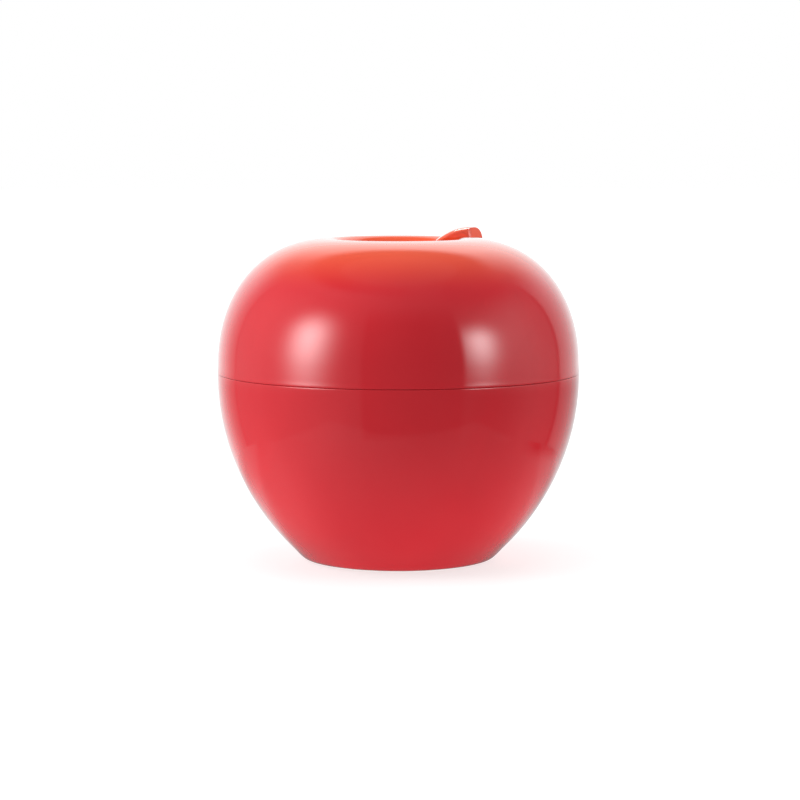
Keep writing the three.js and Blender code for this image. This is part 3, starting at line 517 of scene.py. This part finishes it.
collar = turn("collar_moulding", (3.1, 66.1), [
    (8.5, 66.1), (9.0, 66.6), (9.0, 69.4), (10.3, 69.4), (10.3, 63.5), (11.5, 63.5), ((12.3, 63.5), (12.3, 64.3)),
    (12.3, 72.7), (8.8, 72.7), (8.8, 70.8), (3.1, 70.8),
], soften=0.15, sides=96)
for bearing, (x, y) in zip(COLLAR_BEARINGS, COLLAR_SCREWS):
    weld(collar, weld(post(3.7, 69.7, 72.7, x, y, 48), bar((10.8, -3.7, 69.7), (15.2, 3.7, 72.7), bearing)))
    cut(collar, post(SCREW_HOLE, 69, 73, x, y))
cut(collar, pin_hole(RIVET_HOLE, RIVET_HEIGHT, 7.6, 13.3), pin_hole(RIVET_HOLE, RIVET_HEIGHT, -13.3, -7.6))
fit(clean(collar, 30), "top", "ivory_plastic", "corer_collar")

bush = turn("plunger_bush_turned", (2.9, 72.8), [
    (4.6, 72.8), (4.6, 71.1), (8.5, 71.1), (8.5, 72.7), (5.9, 72.7), (5.9, 75.0), ((5.9, 75.4), (5.5, 75.4)),
    (2.9, 75.4),
], soften=0.1, sides=96)
fit(bush, "top", "ivory_plastic", "plunger_bush")
print("corer tube", len(tube.data.polygons), "faces, collar", len(collar.data.polygons))

# %% [markdown]
# ## The plunger
# A steel rod runs down the middle. Its thinned end carries the piston, an upturned cup, which an open clip holds
# on. A key on the piston runs in the slit of the tube and keeps the stem from turning. A cross pin fixes the
# stem to the top of the rod.

# %% Plunger rod, piston, clip and pin
STEM_PIN_HEIGHT, STEM_PIN_HOLE = 77.77, 1.1
rod = turn("plunger_rod_turned", (0, 8.15), [
    (1.4, 8.15), (1.7, 8.45), (1.7, 9.2), (1.1, 9.2), (1.1, 10.22), (1.7, 10.22), (1.7, 14.45), (2.6, 14.45),
    (2.6, 78.7), ((2.6, 79.3), (2.0, 79.3)), (0, 79.3),
], closed=False, soften=0.08, sides=64)
cut(rod, pin_hole(STEM_PIN_HOLE, STEM_PIN_HEIGHT, -4, 4))
fit(clean(rod, 35), "plunger", "turned_steel", "plunger_rod")

piston = turn("piston_moulding", (2.0, 10.3), [
    (7.9, 10.3), ((8.7, 10.3), (8.7, 11.1)), (8.7, 14.3), (7.3, 14.3), (7.3, 11.7), (3.4, 11.7), (3.4, 14.3),
    (2.0, 14.3),
], soften=0.15, sides=96)
weld(piston, bar((7.6, -1.0, 11.5), (9.8, 1.0, 14.0)))
fit(clean(piston, 30), "plunger", "ivory_plastic", "plunger_piston")

clip = turn("open_clip", (1.25, 9.35), [(3.3, 9.35), (3.3, 10.15), (1.25, 10.15)], soften=0.06, sides=64)
cut(clip, bar((0, -0.88, 9), (4, 0.88, 11)))
fit(clean(clip, 35), "plunger", "turned_steel", "piston_clip")

stem_pin = turn("stem_cross_pin", (0, -5.6), [(0.6, -5.6), (0.8, -5.4), (0.8, 5.4), (0.6, 5.6), (0, 5.6)],
                closed=False, soften=0.04, sides=48)
place(stem_pin, rotate=(-90, 0, 0), move=(0, 0, STEM_PIN_HEIGHT))
fit(stem_pin, "plunger", "turned_steel", "stem_pin")

# %% [markdown]
# ## The stem
# The stem starts as a slab with rounded rims. A flat curve can be filled, made thick and bevelled all in its own
# settings, and a negative offset keeps the bevel inside the outline. That rounds a curved rim more evenly than a
# bevel of a finished mesh would. Two plain slabs, its outline from above and from its end, then trim it. The one
# from above is tipped a little about the near side, which leaves that side upright but makes the facet across the
# near corner lean back. Moving the vertices towards the middle narrows the neck. The roof of the apple, lifted a
# little, is cut out of it, so that its underside follows the dimple and the crown with an even gap. Cut faces are
# long and thin, so the normals are weighted by area to keep the flats looking flat.

# %% Stem
STEM_WIDTH, STEM_RIM = 8, 0.9
NECK_X, NECK_LENGTH, NECK_SHARE = 6, 11.3, 0.375  # where it is narrowest, over what length, and by what share
stem = outline_curve("stem_moulding", (0, 75.7), [
    (22.2, 75.7), (22.2, 85.7), ((21.65, 88.4), (20.0, 88.4)), (18.6, 88.4),
    ((15.07, 88.4), (11.02, 86.86), (5.0, 80.0)), (0, 80.0),
], True, 16)
place(stem, rotate=(-90, 0, 0))
stem.data.dimensions = "2D"
stem.data.fill_mode = "BOTH"
stem.data.extrude = (STEM_WIDTH / 2 - STEM_RIM) * MM
stem.data.bevel_depth = STEM_RIM * MM
stem.data.bevel_resolution = 5
stem.data.offset = -STEM_RIM * MM
bpy.ops.object.convert(target="MESH")
stem = clean(bpy.context.object)
place(stem, rotate=(90, 0, 0))
print("rounded slab", [round(c / MM, 2) for c in stem.dimensions])
from_above = slab("stem_plan", (-30, -6), [
    (-2.4, -6), (-1.3, -4), ((0, -4), (0.8, -3.14)), (3.0, -0.78), (3.0, 1.0), ((3.0, 4), (0.1, 4)), (-1, 6),
    (-30, 6),
], -20, 20, fine=8)
place(from_above, rotate=(-90, 0, 0))
place(from_above, rotate=(0, -12.4, 0), move=(19.2, 0, 85.7))
from_end = slab("stem_end", (-5, 75), [
    (5, 75), (5, 84), (4.05, 85.4), ((4.05, 88.4), (1, 88.4)), (0.5, 89), (-5, 89),
], -24, 1, fine=12)
keep_shared(stem, from_above, place(from_end, rotate=(0, 0, 90)))
for vert in stem.data.vertices:
    inward = min(max((NECK_X + NECK_LENGTH - vert.co.x / MM) / NECK_LENGTH, 0), 1)
    vert.co.y *= 1 - NECK_SHARE * inward * inward * (3 - 2 * inward)
roof = turn("lifted_roof", (7.5, 50), [
    (48.2, 50), ((48.2, 71.2), (37.0, 85.75), (18.3, 85.75)), ((12.95, 85.75), (12.2, 75.75), (7.5, 75.75)),
], soften=0, sides=192, fine=24)
cut(stem, roof)
hub = turn("stem_hub", (0, 75.7), [
    (5.4, 75.7), (6.0, 76.3), (6.0, 78.9), ((6.0, 80.3), (4.6, 80.3)), (0, 80.3),
], closed=False, soften=0.05, sides=96)
weld(stem, hub)
cut(stem, post(2.9, 74, 79.6, sides=64), pin_hole(STEM_PIN_HOLE, STEM_PIN_HEIGHT, -7, 7))
apply_modifier(clean(stem, 30), "WEIGHTED_NORMAL", weight=100, keep_sharp=True)
fit(stem, "plunger", "red_plastic", "stem_handle")
print("stem", len(stem.data.polygons), "faces", [round(v / MM, 1) for v in stem.dimensions])

# %% [markdown]
# ## How a finish is built
# Every finish here is worked out by shader nodes from the place on the piece, so nothing has to be unwrapped or
# painted. Each helper adds one kind of node and hands back its output: a sum, a noise, an easing, a run of
# colours, a relief. What never changes is set on the socket itself. A finished material goes to every piece of
# its slot at once.

# %% Helpers: building a material
def new_material(name, metallic=0.0, **constants):
    """A Principled material with fixed values, and the tools to add nodes to it."""
    made = bpy.data.materials.new(name)
    made.use_nodes = True
    tree = made.node_tree
    shader = tree.nodes["Principled BSDF"]
    shader.inputs["Metallic"].default_value = metallic
    for socket, value in constants.items():
        shader.inputs[socket].default_value = value
    return made, tree, shader


def node(tree, kind, settings=None, **inputs):
    """Adds a node. An input given a socket is linked, and any other is set. Underscores stand for spaces."""
    made = tree.nodes.new(kind)
    for name, value in (settings or {}).items():
        setattr(made, name, value)
    for name, value in inputs.items():
        socket = made.inputs[int(name[1:]) if name[0] == "i" and name[1:].isdigit() else name.replace("_", " ")]
        if isinstance(value, bpy.types.NodeSocket):
            tree.links.new(value, socket)
        else:
            socket.default_value = value
    return made


def calc(tree, operation, *values):
    inputs = {f"i{i}": value for i, value in enumerate(values)}
    return node(tree, "ShaderNodeMath", {"operation": operation}, **inputs).outputs[0]


def noise(tree, where, scale, detail=3.0, roughness=0.5):
    made = node(tree, "ShaderNodeTexNoise", Vector=where, Scale=scale, Detail=detail, Roughness=roughness)
    return made.outputs["Fac"]


def remap(tree, value, low, high, to_low, to_high):
    """Eases from one value to another while the input runs from low to high, and holds them outside."""
    return node(tree, "ShaderNodeMapRange", {"interpolation_type": "SMOOTHSTEP"}, Value=value, From_Min=low,
                From_Max=high, To_Min=to_low, To_Max=to_high).outputs["Result"]


def ramp(tree, value, *stops):
    """A colour that runs through stops of (position, red, green, blue)."""
    made = node(tree, "ShaderNodeValToRGB", Fac=value)
    elements = made.color_ramp.elements
    while len(elements) < len(stops):
        elements.new(0.5)
    for element, (position, *colour) in zip(elements, stops):
        element.position = position
        element.color = (*colour, 1)
    return made.outputs["Color"]


def tint(tree, factor, base, over, blend="MIX"):
    """Lays one colour over another."""
    made = tree.nodes.new("ShaderNodeMix")
    made.data_type = "RGBA"
    made.blend_type = blend
    for socket, value in zip((made.inputs[0], made.inputs[6], made.inputs[7]), (factor, base, over)):
        if isinstance(value, bpy.types.NodeSocket):
            tree.links.new(value, socket)
        else:
            socket.default_value = value
    return made.outputs[2]


def bump(tree, height, distance, strength=1.0, normal=None):
    """Relief of a height in metres."""
    made = node(tree, "ShaderNodeBump", Height=height, Distance=distance, Strength=strength)
    if normal:
        tree.links.new(normal, made.inputs["Normal"])
    return made.outputs["Normal"]


def finish(material, slot):
    """Gives a material to every piece of a slot."""
    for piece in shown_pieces():
        if piece.get("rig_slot") == slot:
            piece.data.materials.clear()
            piece.data.materials.append(material)

# %% [markdown]
# ## The red plastic
# A moulded plastic is never quite even. Its colour drifts a little over centimetres, its gloss is broken by a
# fine ripple from the mould, and handling leaves faint scuffs. Each of these is a noise of its own size, read
# from object coordinates, which here are metres, so a scale of 300 makes patches of about 3 mm.
# The colour also turns lighter and more orange towards the crown, which is painted light for the glow of light through
# the plastic there. On the stem it is lighter and paler still, painted light as well.

# %% Red plastic
red, tree, shader = new_material("glossy_red_plastic", IOR=1.49, **{"Coat Weight": 0.8, "Coat Roughness": 0.05})
where = node(tree, "ShaderNodeTexCoord").outputs["Object"]
drift = noise(tree, where, 28, detail=2)
cloud = noise(tree, where, 130, detail=4)
colour = ramp(tree, drift, (0.3, 0.545, 0.0090, 0.0180), (0.7, 0.590, 0.0112, 0.0205))
colour = tint(tree, remap(tree, cloud, 0.3, 0.7, 0, 0.25), colour, (0.575, 0.0135, 0.0215, 1))
height = node(tree, "ShaderNodeSeparateXYZ", Vector=where).outputs["Z"]
# painted light: from 73 to 90 mm up the red turns lighter and more orange, for light glowing through the plastic at
# the crown
colour = tint(tree, remap(tree, height, 0.073, 0.090, 0, 1), colour, (0.87, 0.115, 0.028, 1))
# painted light: above 85.6 mm, on the stem, the red is a lighter and paler copy again
colour = tint(tree, remap(tree, height, 0.0856, 0.0859, 0, 1), colour, (0.93, 0.150, 0.085, 1))
tree.links.new(colour, shader.inputs["Base Color"])
scuffs = noise(tree, node(tree, "ShaderNodeMapping", Vector=where, Scale=(40, 900, 40)).outputs["Vector"], 6, detail=5)
smears = noise(tree, where, 60, detail=5, roughness=0.6)
gloss = calc(tree, "ADD", remap(tree, smears, 0.35, 0.75, 0.07, 0.12), remap(tree, scuffs, 0.62, 0.8, 0, 0.08))
tree.links.new(gloss, shader.inputs["Roughness"])
ripple = bump(tree, noise(tree, where, 260, detail=1), 2e-6)
ripple = bump(tree, noise(tree, where, 2600, detail=2), 2e-7, normal=ripple)
tree.links.new(ripple, shader.inputs["Normal"])
finish(red, "red_plastic")
print("red plastic:", len(tree.nodes), "nodes")

# %% [markdown]
# ## The pale plastic and the silicone
# The inside is a satin plastic with a spark-eroded grain, which is a fine even bump. It is a little dull in the
# hollows of the grain. Silicone is softer to look at: rough, slightly cloudy, and faintly lit from within.

# %% Pale plastic and silicone
ivory, tree, shader = new_material("satin_ivory_plastic", IOR=1.52)
where = node(tree, "ShaderNodeTexCoord").outputs["Object"]
drift = noise(tree, where, 45, detail=3)
tree.links.new(ramp(tree, drift, (0.3, 0.80, 0.745, 0.62), (0.7, 0.84, 0.795, 0.685)), shader.inputs["Base Color"])
grain = noise(tree, where, 3200, detail=2)
tree.links.new(remap(tree, grain, 0.3, 0.7, 0.30, 0.42), shader.inputs["Roughness"])
tree.links.new(bump(tree, grain, 6e-6, 0.6), shader.inputs["Normal"])
finish(ivory, "ivory_plastic")

silicone, tree, shader = new_material("cloudy_silicone", IOR=1.41)
where = node(tree, "ShaderNodeTexCoord").outputs["Object"]
shader.inputs["Subsurface Weight"].default_value = 0.3
shader.inputs["Subsurface Radius"].default_value = (0.002, 0.0018, 0.0015)
cloud = noise(tree, where, 300, detail=4)
tree.links.new(ramp(tree, cloud, (0.3, 0.62, 0.59, 0.55), (0.7, 0.70, 0.67, 0.63)), shader.inputs["Base Color"])
dust = noise(tree, where, 5000, detail=2)
tree.links.new(remap(tree, dust, 0.3, 0.7, 0.5, 0.68), shader.inputs["Roughness"])
tree.links.new(bump(tree, dust, 4e-6, 0.5), shader.inputs["Normal"])
finish(silicone, "silicone")

# %% [markdown]
# ## The two steels
# Rolled sheet has a grain that runs along it, so its noise is stretched along the tube. Turned steel has rings
# round its own axis instead, and those of the long rod are all that needs to show. Both grains act on the
# roughness and on a very small bump, and anisotropy draws the highlight out across them.

# %% Sheet steel and turned steel
sheet_steel, tree, shader = new_material("brushed_sheet_steel", metallic=1.0, Anisotropic=0.5)
where = node(tree, "ShaderNodeTexCoord").outputs["Object"]
cloud = noise(tree, where, 70, detail=4)
tree.links.new(ramp(tree, cloud, (0.3, 0.55, 0.555, 0.57), (0.7, 0.64, 0.645, 0.65)), shader.inputs["Base Color"])
along = node(tree, "ShaderNodeMapping", Vector=where, Scale=(1, 1, 0.02)).outputs["Vector"]
grain = noise(tree, along, 4000, detail=3, roughness=0.6)
tree.links.new(remap(tree, grain, 0.3, 0.7, 0.18, 0.34), shader.inputs["Roughness"])
tree.links.new(bump(tree, grain, 2e-6, 0.5), shader.inputs["Normal"])
finish(sheet_steel, "sheet_steel")

turned_steel, tree, shader = new_material("turned_bright_steel", metallic=1.0, Anisotropic=0.3)
where = node(tree, "ShaderNodeTexCoord").outputs["Object"]
cloud = noise(tree, where, 160, detail=4)
tree.links.new(ramp(tree, cloud, (0.3, 0.58, 0.58, 0.59), (0.7, 0.68, 0.68, 0.69)), shader.inputs["Base Color"])
across = node(tree, "ShaderNodeMapping", Vector=where, Scale=(0.02, 0.02, 1)).outputs["Vector"]
rings = noise(tree, across, 5000, detail=3, roughness=0.6)
tree.links.new(remap(tree, rings, 0.3, 0.7, 0.20, 0.36), shader.inputs["Roughness"])
tree.links.new(bump(tree, rings, 2e-6, 0.5), shader.inputs["Normal"])
finish(turned_steel, "turned_steel")
print("materials:", [m.name for m in bpy.data.materials if m.users])

# %% [markdown]
# ## How a light is set place by place
# The table and the paper tube that come next shine unevenly. Their light is a sum of eased steps over their own
# coordinates, so one place can be made brighter or dimmer without a change to the others. Three more helpers
# keep these sums readable.

# %% Helpers: adding and mixing values
def total(tree, first, *others):
    for other in others:
        first = calc(tree, "ADD", first, other)
    return first


def product(tree, first, *others):
    for other in others:
        first = calc(tree, "MULTIPLY", first, other)
    return first


def mixed(tree, factor, low, high):
    """The low value where the factor is 0, and the high one where it is 1."""
    return node(tree, "ShaderNodeMix", Factor=factor, i2=low, i3=high).outputs[0]

# %% [markdown]
# ## The table
# The object stands on a pale table before a white ground. The table is painted and takes the object's shadow.
# It also glows a little, and differently for each kind of ray, which a Light Path node tells apart. To the
# camera it glows until it looks white. To the object it is brighter close by and in a strip on each side, which
# fills the underside of the belly. In reflections it is a round patch, dim to the front and brighter towards
# the back, because the paper tube described further on stands on it.

# %% Table
bpy.ops.mesh.primitive_plane_add(size=8, location=(0, 0, 0))
table = bpy.context.object
table.name = "table_top"
table_paint, tree, shader = new_material("pale_table_paint", IOR=1.4, Roughness=0.7)
where = node(tree, "ShaderNodeTexCoord").outputs["Object"]
ray = node(tree, "ShaderNodeLightPath").outputs
paint = ramp(tree, noise(tree, where, 9, detail=4), (0.3, 0.29, 0.29, 0.29), (0.7, 0.31, 0.31, 0.31))
# painted shade: in reflections the table's paint is a dark grey of 0.08, so that its glow alone sets how it shows in
# the gloss
tree.links.new(tint(tree, ray["Is Glossy Ray"], paint, (0.08, 0.08, 0.08, 1)), shader.inputs["Base Color"])
shader.inputs["Emission Color"].default_value = (1, 1, 1, 1)
far = node(tree, "ShaderNodeVectorMath", {"operation": "LENGTH"}, i0=where).outputs["Value"]
rightward, backward, _ = node(tree, "ShaderNodeSeparateXYZ", Vector=where).outputs

to_camera = remap(tree, far, 0.1, 0.6, 0.70, 0.95)

sideways = calc(tree, "ABSOLUTE", rightward)
strips = total(tree, remap(tree, sideways, 0.022, 0.042, 0, 1.8), remap(tree, sideways, 0.06, 0.1, 0, -1.2))
strips = product(tree, strips, remap(tree, backward, -0.05, 0, 0, 1))
to_object = total(tree, strips, remap(tree, far, 0.05, 0.16, 1.12, 0.48))

front = remap(tree, rightward, -0.08, 0.03, 0.34, 0.15)
back = total(tree, remap(tree, backward, 0, 0.012, 0.2, 0.3), remap(tree, backward, 0.036, 0.084, 0, 0.3),
             remap(tree, rightward, 0.086, 0.11, 0, -0.25))
beside = total(tree, remap(tree, rightward, -0.078, -0.033, 0, 0.43), remap(tree, rightward, 0, 0.02, 0, -0.18),
               remap(tree, rightward, 0.03, 0.075, 0, -0.25))
beside = product(tree, beside, remap(tree, backward, -0.013, 0.028, 0, 1), remap(tree, backward, 0.045, 0.08, 1, 0.2))
patch = mixed(tree, remap(tree, backward, -0.03, 0, 0, 1), front, total(tree, back, beside))
to_gloss = product(tree, patch, remap(tree, far, 0.113, 0.118, 1, 0))

glow = total(tree, product(tree, ray["Is Camera Ray"], to_camera), product(tree, ray["Is Diffuse Ray"], to_object),
             product(tree, ray["Is Glossy Ray"], to_gloss))
tree.links.new(glow, shader.inputs["Emission Strength"])
table.data.materials.append(table_paint)
print("table:", len(tree.nodes), "nodes")

# %% [markdown]
# ## The lamps
# What lights a glossy piece and what shows in it are set apart. Three lamps light its colour: a strong one to
# the left, a weak one to the right and one overhead. None of them shows in a reflection. A fourth does nothing
# else: it draws the thin white edge along the top of the stem. It is linked to a collection that holds only the
# stem, so that no other piece takes its light. The stem in turn is hidden from reflections, so that its dark
# image doesn't show in the crown.

# %% Lamps
for name, azimuth, elevation, power in (("left_lamp", -85, 25, 7.5), ("right_lamp", 110, 20, 4.3),
                                        ("overhead_lamp", 0, 85, 5.4)):
    a, e = math.radians(azimuth), math.radians(elevation)  # azimuth is from the camera's side, to the right
    out = Vector((math.sin(a) * math.cos(e), -math.cos(a) * math.cos(e), math.sin(e)))
    bpy.ops.object.light_add(type="AREA", location=out * 0.9 + Vector((0, 0, 0.05)),
                             rotation=out.to_track_quat("Z", "Y").to_euler())
    lamp = bpy.context.object
    lamp.name = name
    lamp.data.size = 0.7
    lamp.data.energy = power
    lamp.visible_glossy = False

stem_end = Vector((12, 0, 88)) * MM
bpy.ops.object.light_add(type="AREA", location=Vector((-70, -20, 340)) * MM)
lamp = bpy.context.object
lamp.name = "stem_edge_lamp"
lamp.data.shape = "DISK"
lamp.data.size = 0.3
lamp.data.energy = 2.5
lamp.rotation_euler = (lamp.location - stem_end).to_track_quat("Z", "Y").to_euler()
lamp.visible_diffuse = False
only_stem = bpy.data.collections.new("only_the_stem")
only_stem.objects.link(stem)
lamp.light_linking.receiver_collection = only_stem
stem.visible_glossy = False

# %% [markdown]
# ## The paper tube
# What shows in the gloss is a tube of tracing paper that stands round the object, and only reflections see it.
# Its glow is drawn as two runs of grey round the tube, one for the height of the object and one for higher up.
# The front is dark, where the camera looks in, and the back is nearly white, which is what brightens the edges
# of the apple. Low down the paper is dimmer, and lowest of all it carries the pale edge of the table, which
# stands higher where the table has its two front corners. On each side a hot spot is painted into the glow, a
# painted highlight in place of a lamp behind the paper. It fades like a bell curve, faster upwards than downwards,
# with a wide faint one beside the right one. They stop short low down, below about 45 mm.

# %% Paper tube
TUBE_RADIUS, TUBE_HEIGHT = 112, 320
EDGE_UNIT = 0.02  # the height, in metres, that a grey of 1 stands for in the table's edge
bpy.ops.mesh.primitive_cylinder_add(vertices=128, radius=TUBE_RADIUS * MM, depth=TUBE_HEIGHT * MM,
                                    end_fill_type="NOTHING")
paper_tube = place(bpy.context.object, move=(0, 0, TUBE_HEIGHT / 2 + 1))
paper_tube.name = "paper_tube"
paper = bpy.data.materials.new("glowing_tracing_paper")
paper.use_nodes = True
tree = paper.node_tree
tree.nodes.clear()
where = node(tree, "ShaderNodeTexCoord").outputs["Object"]
rightward, backward, height = node(tree, "ShaderNodeSeparateXYZ", Vector=where).outputs
turned = node(tree, "ShaderNodeMapping", Vector=where, Rotation=(0, 0, -math.pi / 2)).outputs["Vector"]
round_it = node(tree, "ShaderNodeTexGradient", {"gradient_type": "RADIAL"}, Vector=turned).outputs["Fac"]


def greys(*stops):
    """Greys round the tube, at degrees from the camera's side towards the right."""
    return ramp(tree, round_it, *[(degrees / 360, grey, grey, grey) for degrees, grey in stops])


level = greys((0, 0.20), (15, 0.17), (31, 0.20), (34, 0.30), (52, 0.34), (62, 0.42), (72, 0.50), (80, 0.46),
              (97, 0.27), (99, 0.12), (102, 0.50), (120, 0.76), (132, 0.96), (180, 1.05), (228, 1.0), (240, 0.86),
              (250, 0.59), (256, 0.45), (257, 0.31), (259, 0.40), (280, 0.58), (300, 0.62), (320, 0.50), (341, 0.32),
              (343, 0.21), (360, 0.20))
higher = greys((0, 0.32), (40, 0.26), (90, 0.22), (110, 0.32), (130, 0.70), (155, 1.15), (180, 1.08), (205, 0.98),
               (230, 0.48), (250, 0.34), (270, 0.42), (290, 0.50), (310, 0.52), (330, 0.42), (360, 0.32))
table_edge = greys((0, 0.26), (18, 0.40), (30, 0.60), (39, 0.85), (43, 0.80), (54, 0.43), (68, 0.05), (75, 0),
                   (285, 0), (292, 0.10), (303, 0.30), (314, 0.56), (324, 0.90), (329, 0.88), (334, 0.68), (341, 0.60),
                   (346, 0.36), (360, 0.26))
foot = total(tree, remap(tree, rightward, -0.112, -0.03, 0.68, 0.95), remap(tree, rightward, 0.03, 0.09, 0, -0.39),
             remap(tree, backward, 0.04, 0.08, 0, 0.15))
glow = product(tree, level, remap(tree, height, 0.036, 0.047, foot, 1))
below_edge = calc(tree, "MULTIPLY_ADD", table_edge, EDGE_UNIT, product(tree, height, -1))
glow = total(tree, glow, remap(tree, below_edge, -0.0006, 0.0006, 0, 0.08))
glow = mixed(tree, remap(tree, height, 0.105, 0.165, 0, 1), glow, higher)
glow = mixed(tree, remap(tree, height, 0.185, 0.24, 0, 1), glow, 0.24)
# painted highlights: two hot spots and a wide faint glow beside the right one, cut off below about 45 mm
for degrees, width, centre, upward, downward, strength in (
        (312.2, 7.8, 88, 18, 26, 6.4), (43, 6.2, 83, 11, 18, 5.3), (55, 12, 86, 24, 30, 0.5)):
    aside = calc(tree, "MULTIPLY", calc(tree, "SUBTRACT", round_it, degrees / 360), 360 / width)
    rise = calc(tree, "SUBTRACT", height, centre * MM)
    away = calc(tree, "MAXIMUM", calc(tree, "DIVIDE", rise, upward * MM), calc(tree, "DIVIDE", rise, -downward * MM))
    spread = total(tree, product(tree, aside, aside), product(tree, away, away))
    bell = calc(tree, "EXPONENT", product(tree, spread, -0.5))
    bell = product(tree, bell, remap(tree, height, 0.0425, 0.045, 0, 1),
                   remap(tree, round_it, 31 / 360, 35 / 360, 0, 1))
    glow = calc(tree, "MULTIPLY_ADD", bell, strength, glow)
emission = node(tree, "ShaderNodeEmission", Strength=glow).outputs[0]
tree.links.new(emission, node(tree, "ShaderNodeOutputMaterial").inputs["Surface"])
paper_tube.data.materials.append(paper)
for kind in ("camera", "diffuse", "transmission", "volume_scatter", "shadow"):
    setattr(paper_tube, "visible_" + kind, False)
print("paper tube:", len(tree.nodes), "nodes")

# %% [markdown]
# ## The room
# A glossy thing is mostly a picture of its room. Its edges are bright because a white room stands behind it,
# and its middle is deep red because nothing bright stands behind the camera. So the world's light grows from
# the front to the sides and the back, is a little weaker on the right, and dims again overhead. The camera
# alone sees it plain white.

# %% World
world = bpy.data.worlds.new("studio")
bpy.context.scene.world = world
world.use_nodes = True
tree = world.node_tree
tree.nodes.clear()
heading = node(tree, "ShaderNodeSeparateXYZ", Vector=node(tree, "ShaderNodeTexCoord").outputs["Generated"]).outputs
behind = node(tree, "ShaderNodeMapRange", Value=heading["Y"], From_Min=-1.0, From_Max=1.0).outputs["Result"]
room = ramp(tree, behind, (0.0, 0.20, 0.20, 0.21), (0.07, 0.22, 0.22, 0.23), (0.2, 0.50, 0.50, 0.50),
            (0.5, 0.62, 0.62, 0.62), (0.80, 0.60, 0.60, 0.60), (0.88, 1.10, 1.10, 1.10), (1.0, 1.50, 1.50, 1.50))
right_side = remap(tree, heading["X"], -0.6, 0.6, 0.0, 0.35)
room = tint(tree, right_side, room, (0.35, 0.35, 0.35, 1), blend="MULTIPLY")
room = tint(tree, remap(tree, heading["Z"], 0.45, 0.8, 0, 1), room, (0.30, 0.30, 0.30, 1))
to_camera = node(tree, "ShaderNodeLightPath").outputs["Is Camera Ray"]
background = node(tree, "ShaderNodeBackground", Color=tint(tree, to_camera, room, (1, 1, 1, 1)), Strength=1.0)
tree.links.new(background.outputs[0], node(tree, "ShaderNodeOutputWorld").inputs["Surface"])
bpy.context.scene.view_settings.view_transform = "Standard"
print("world", world.name, len(tree.nodes), "nodes")
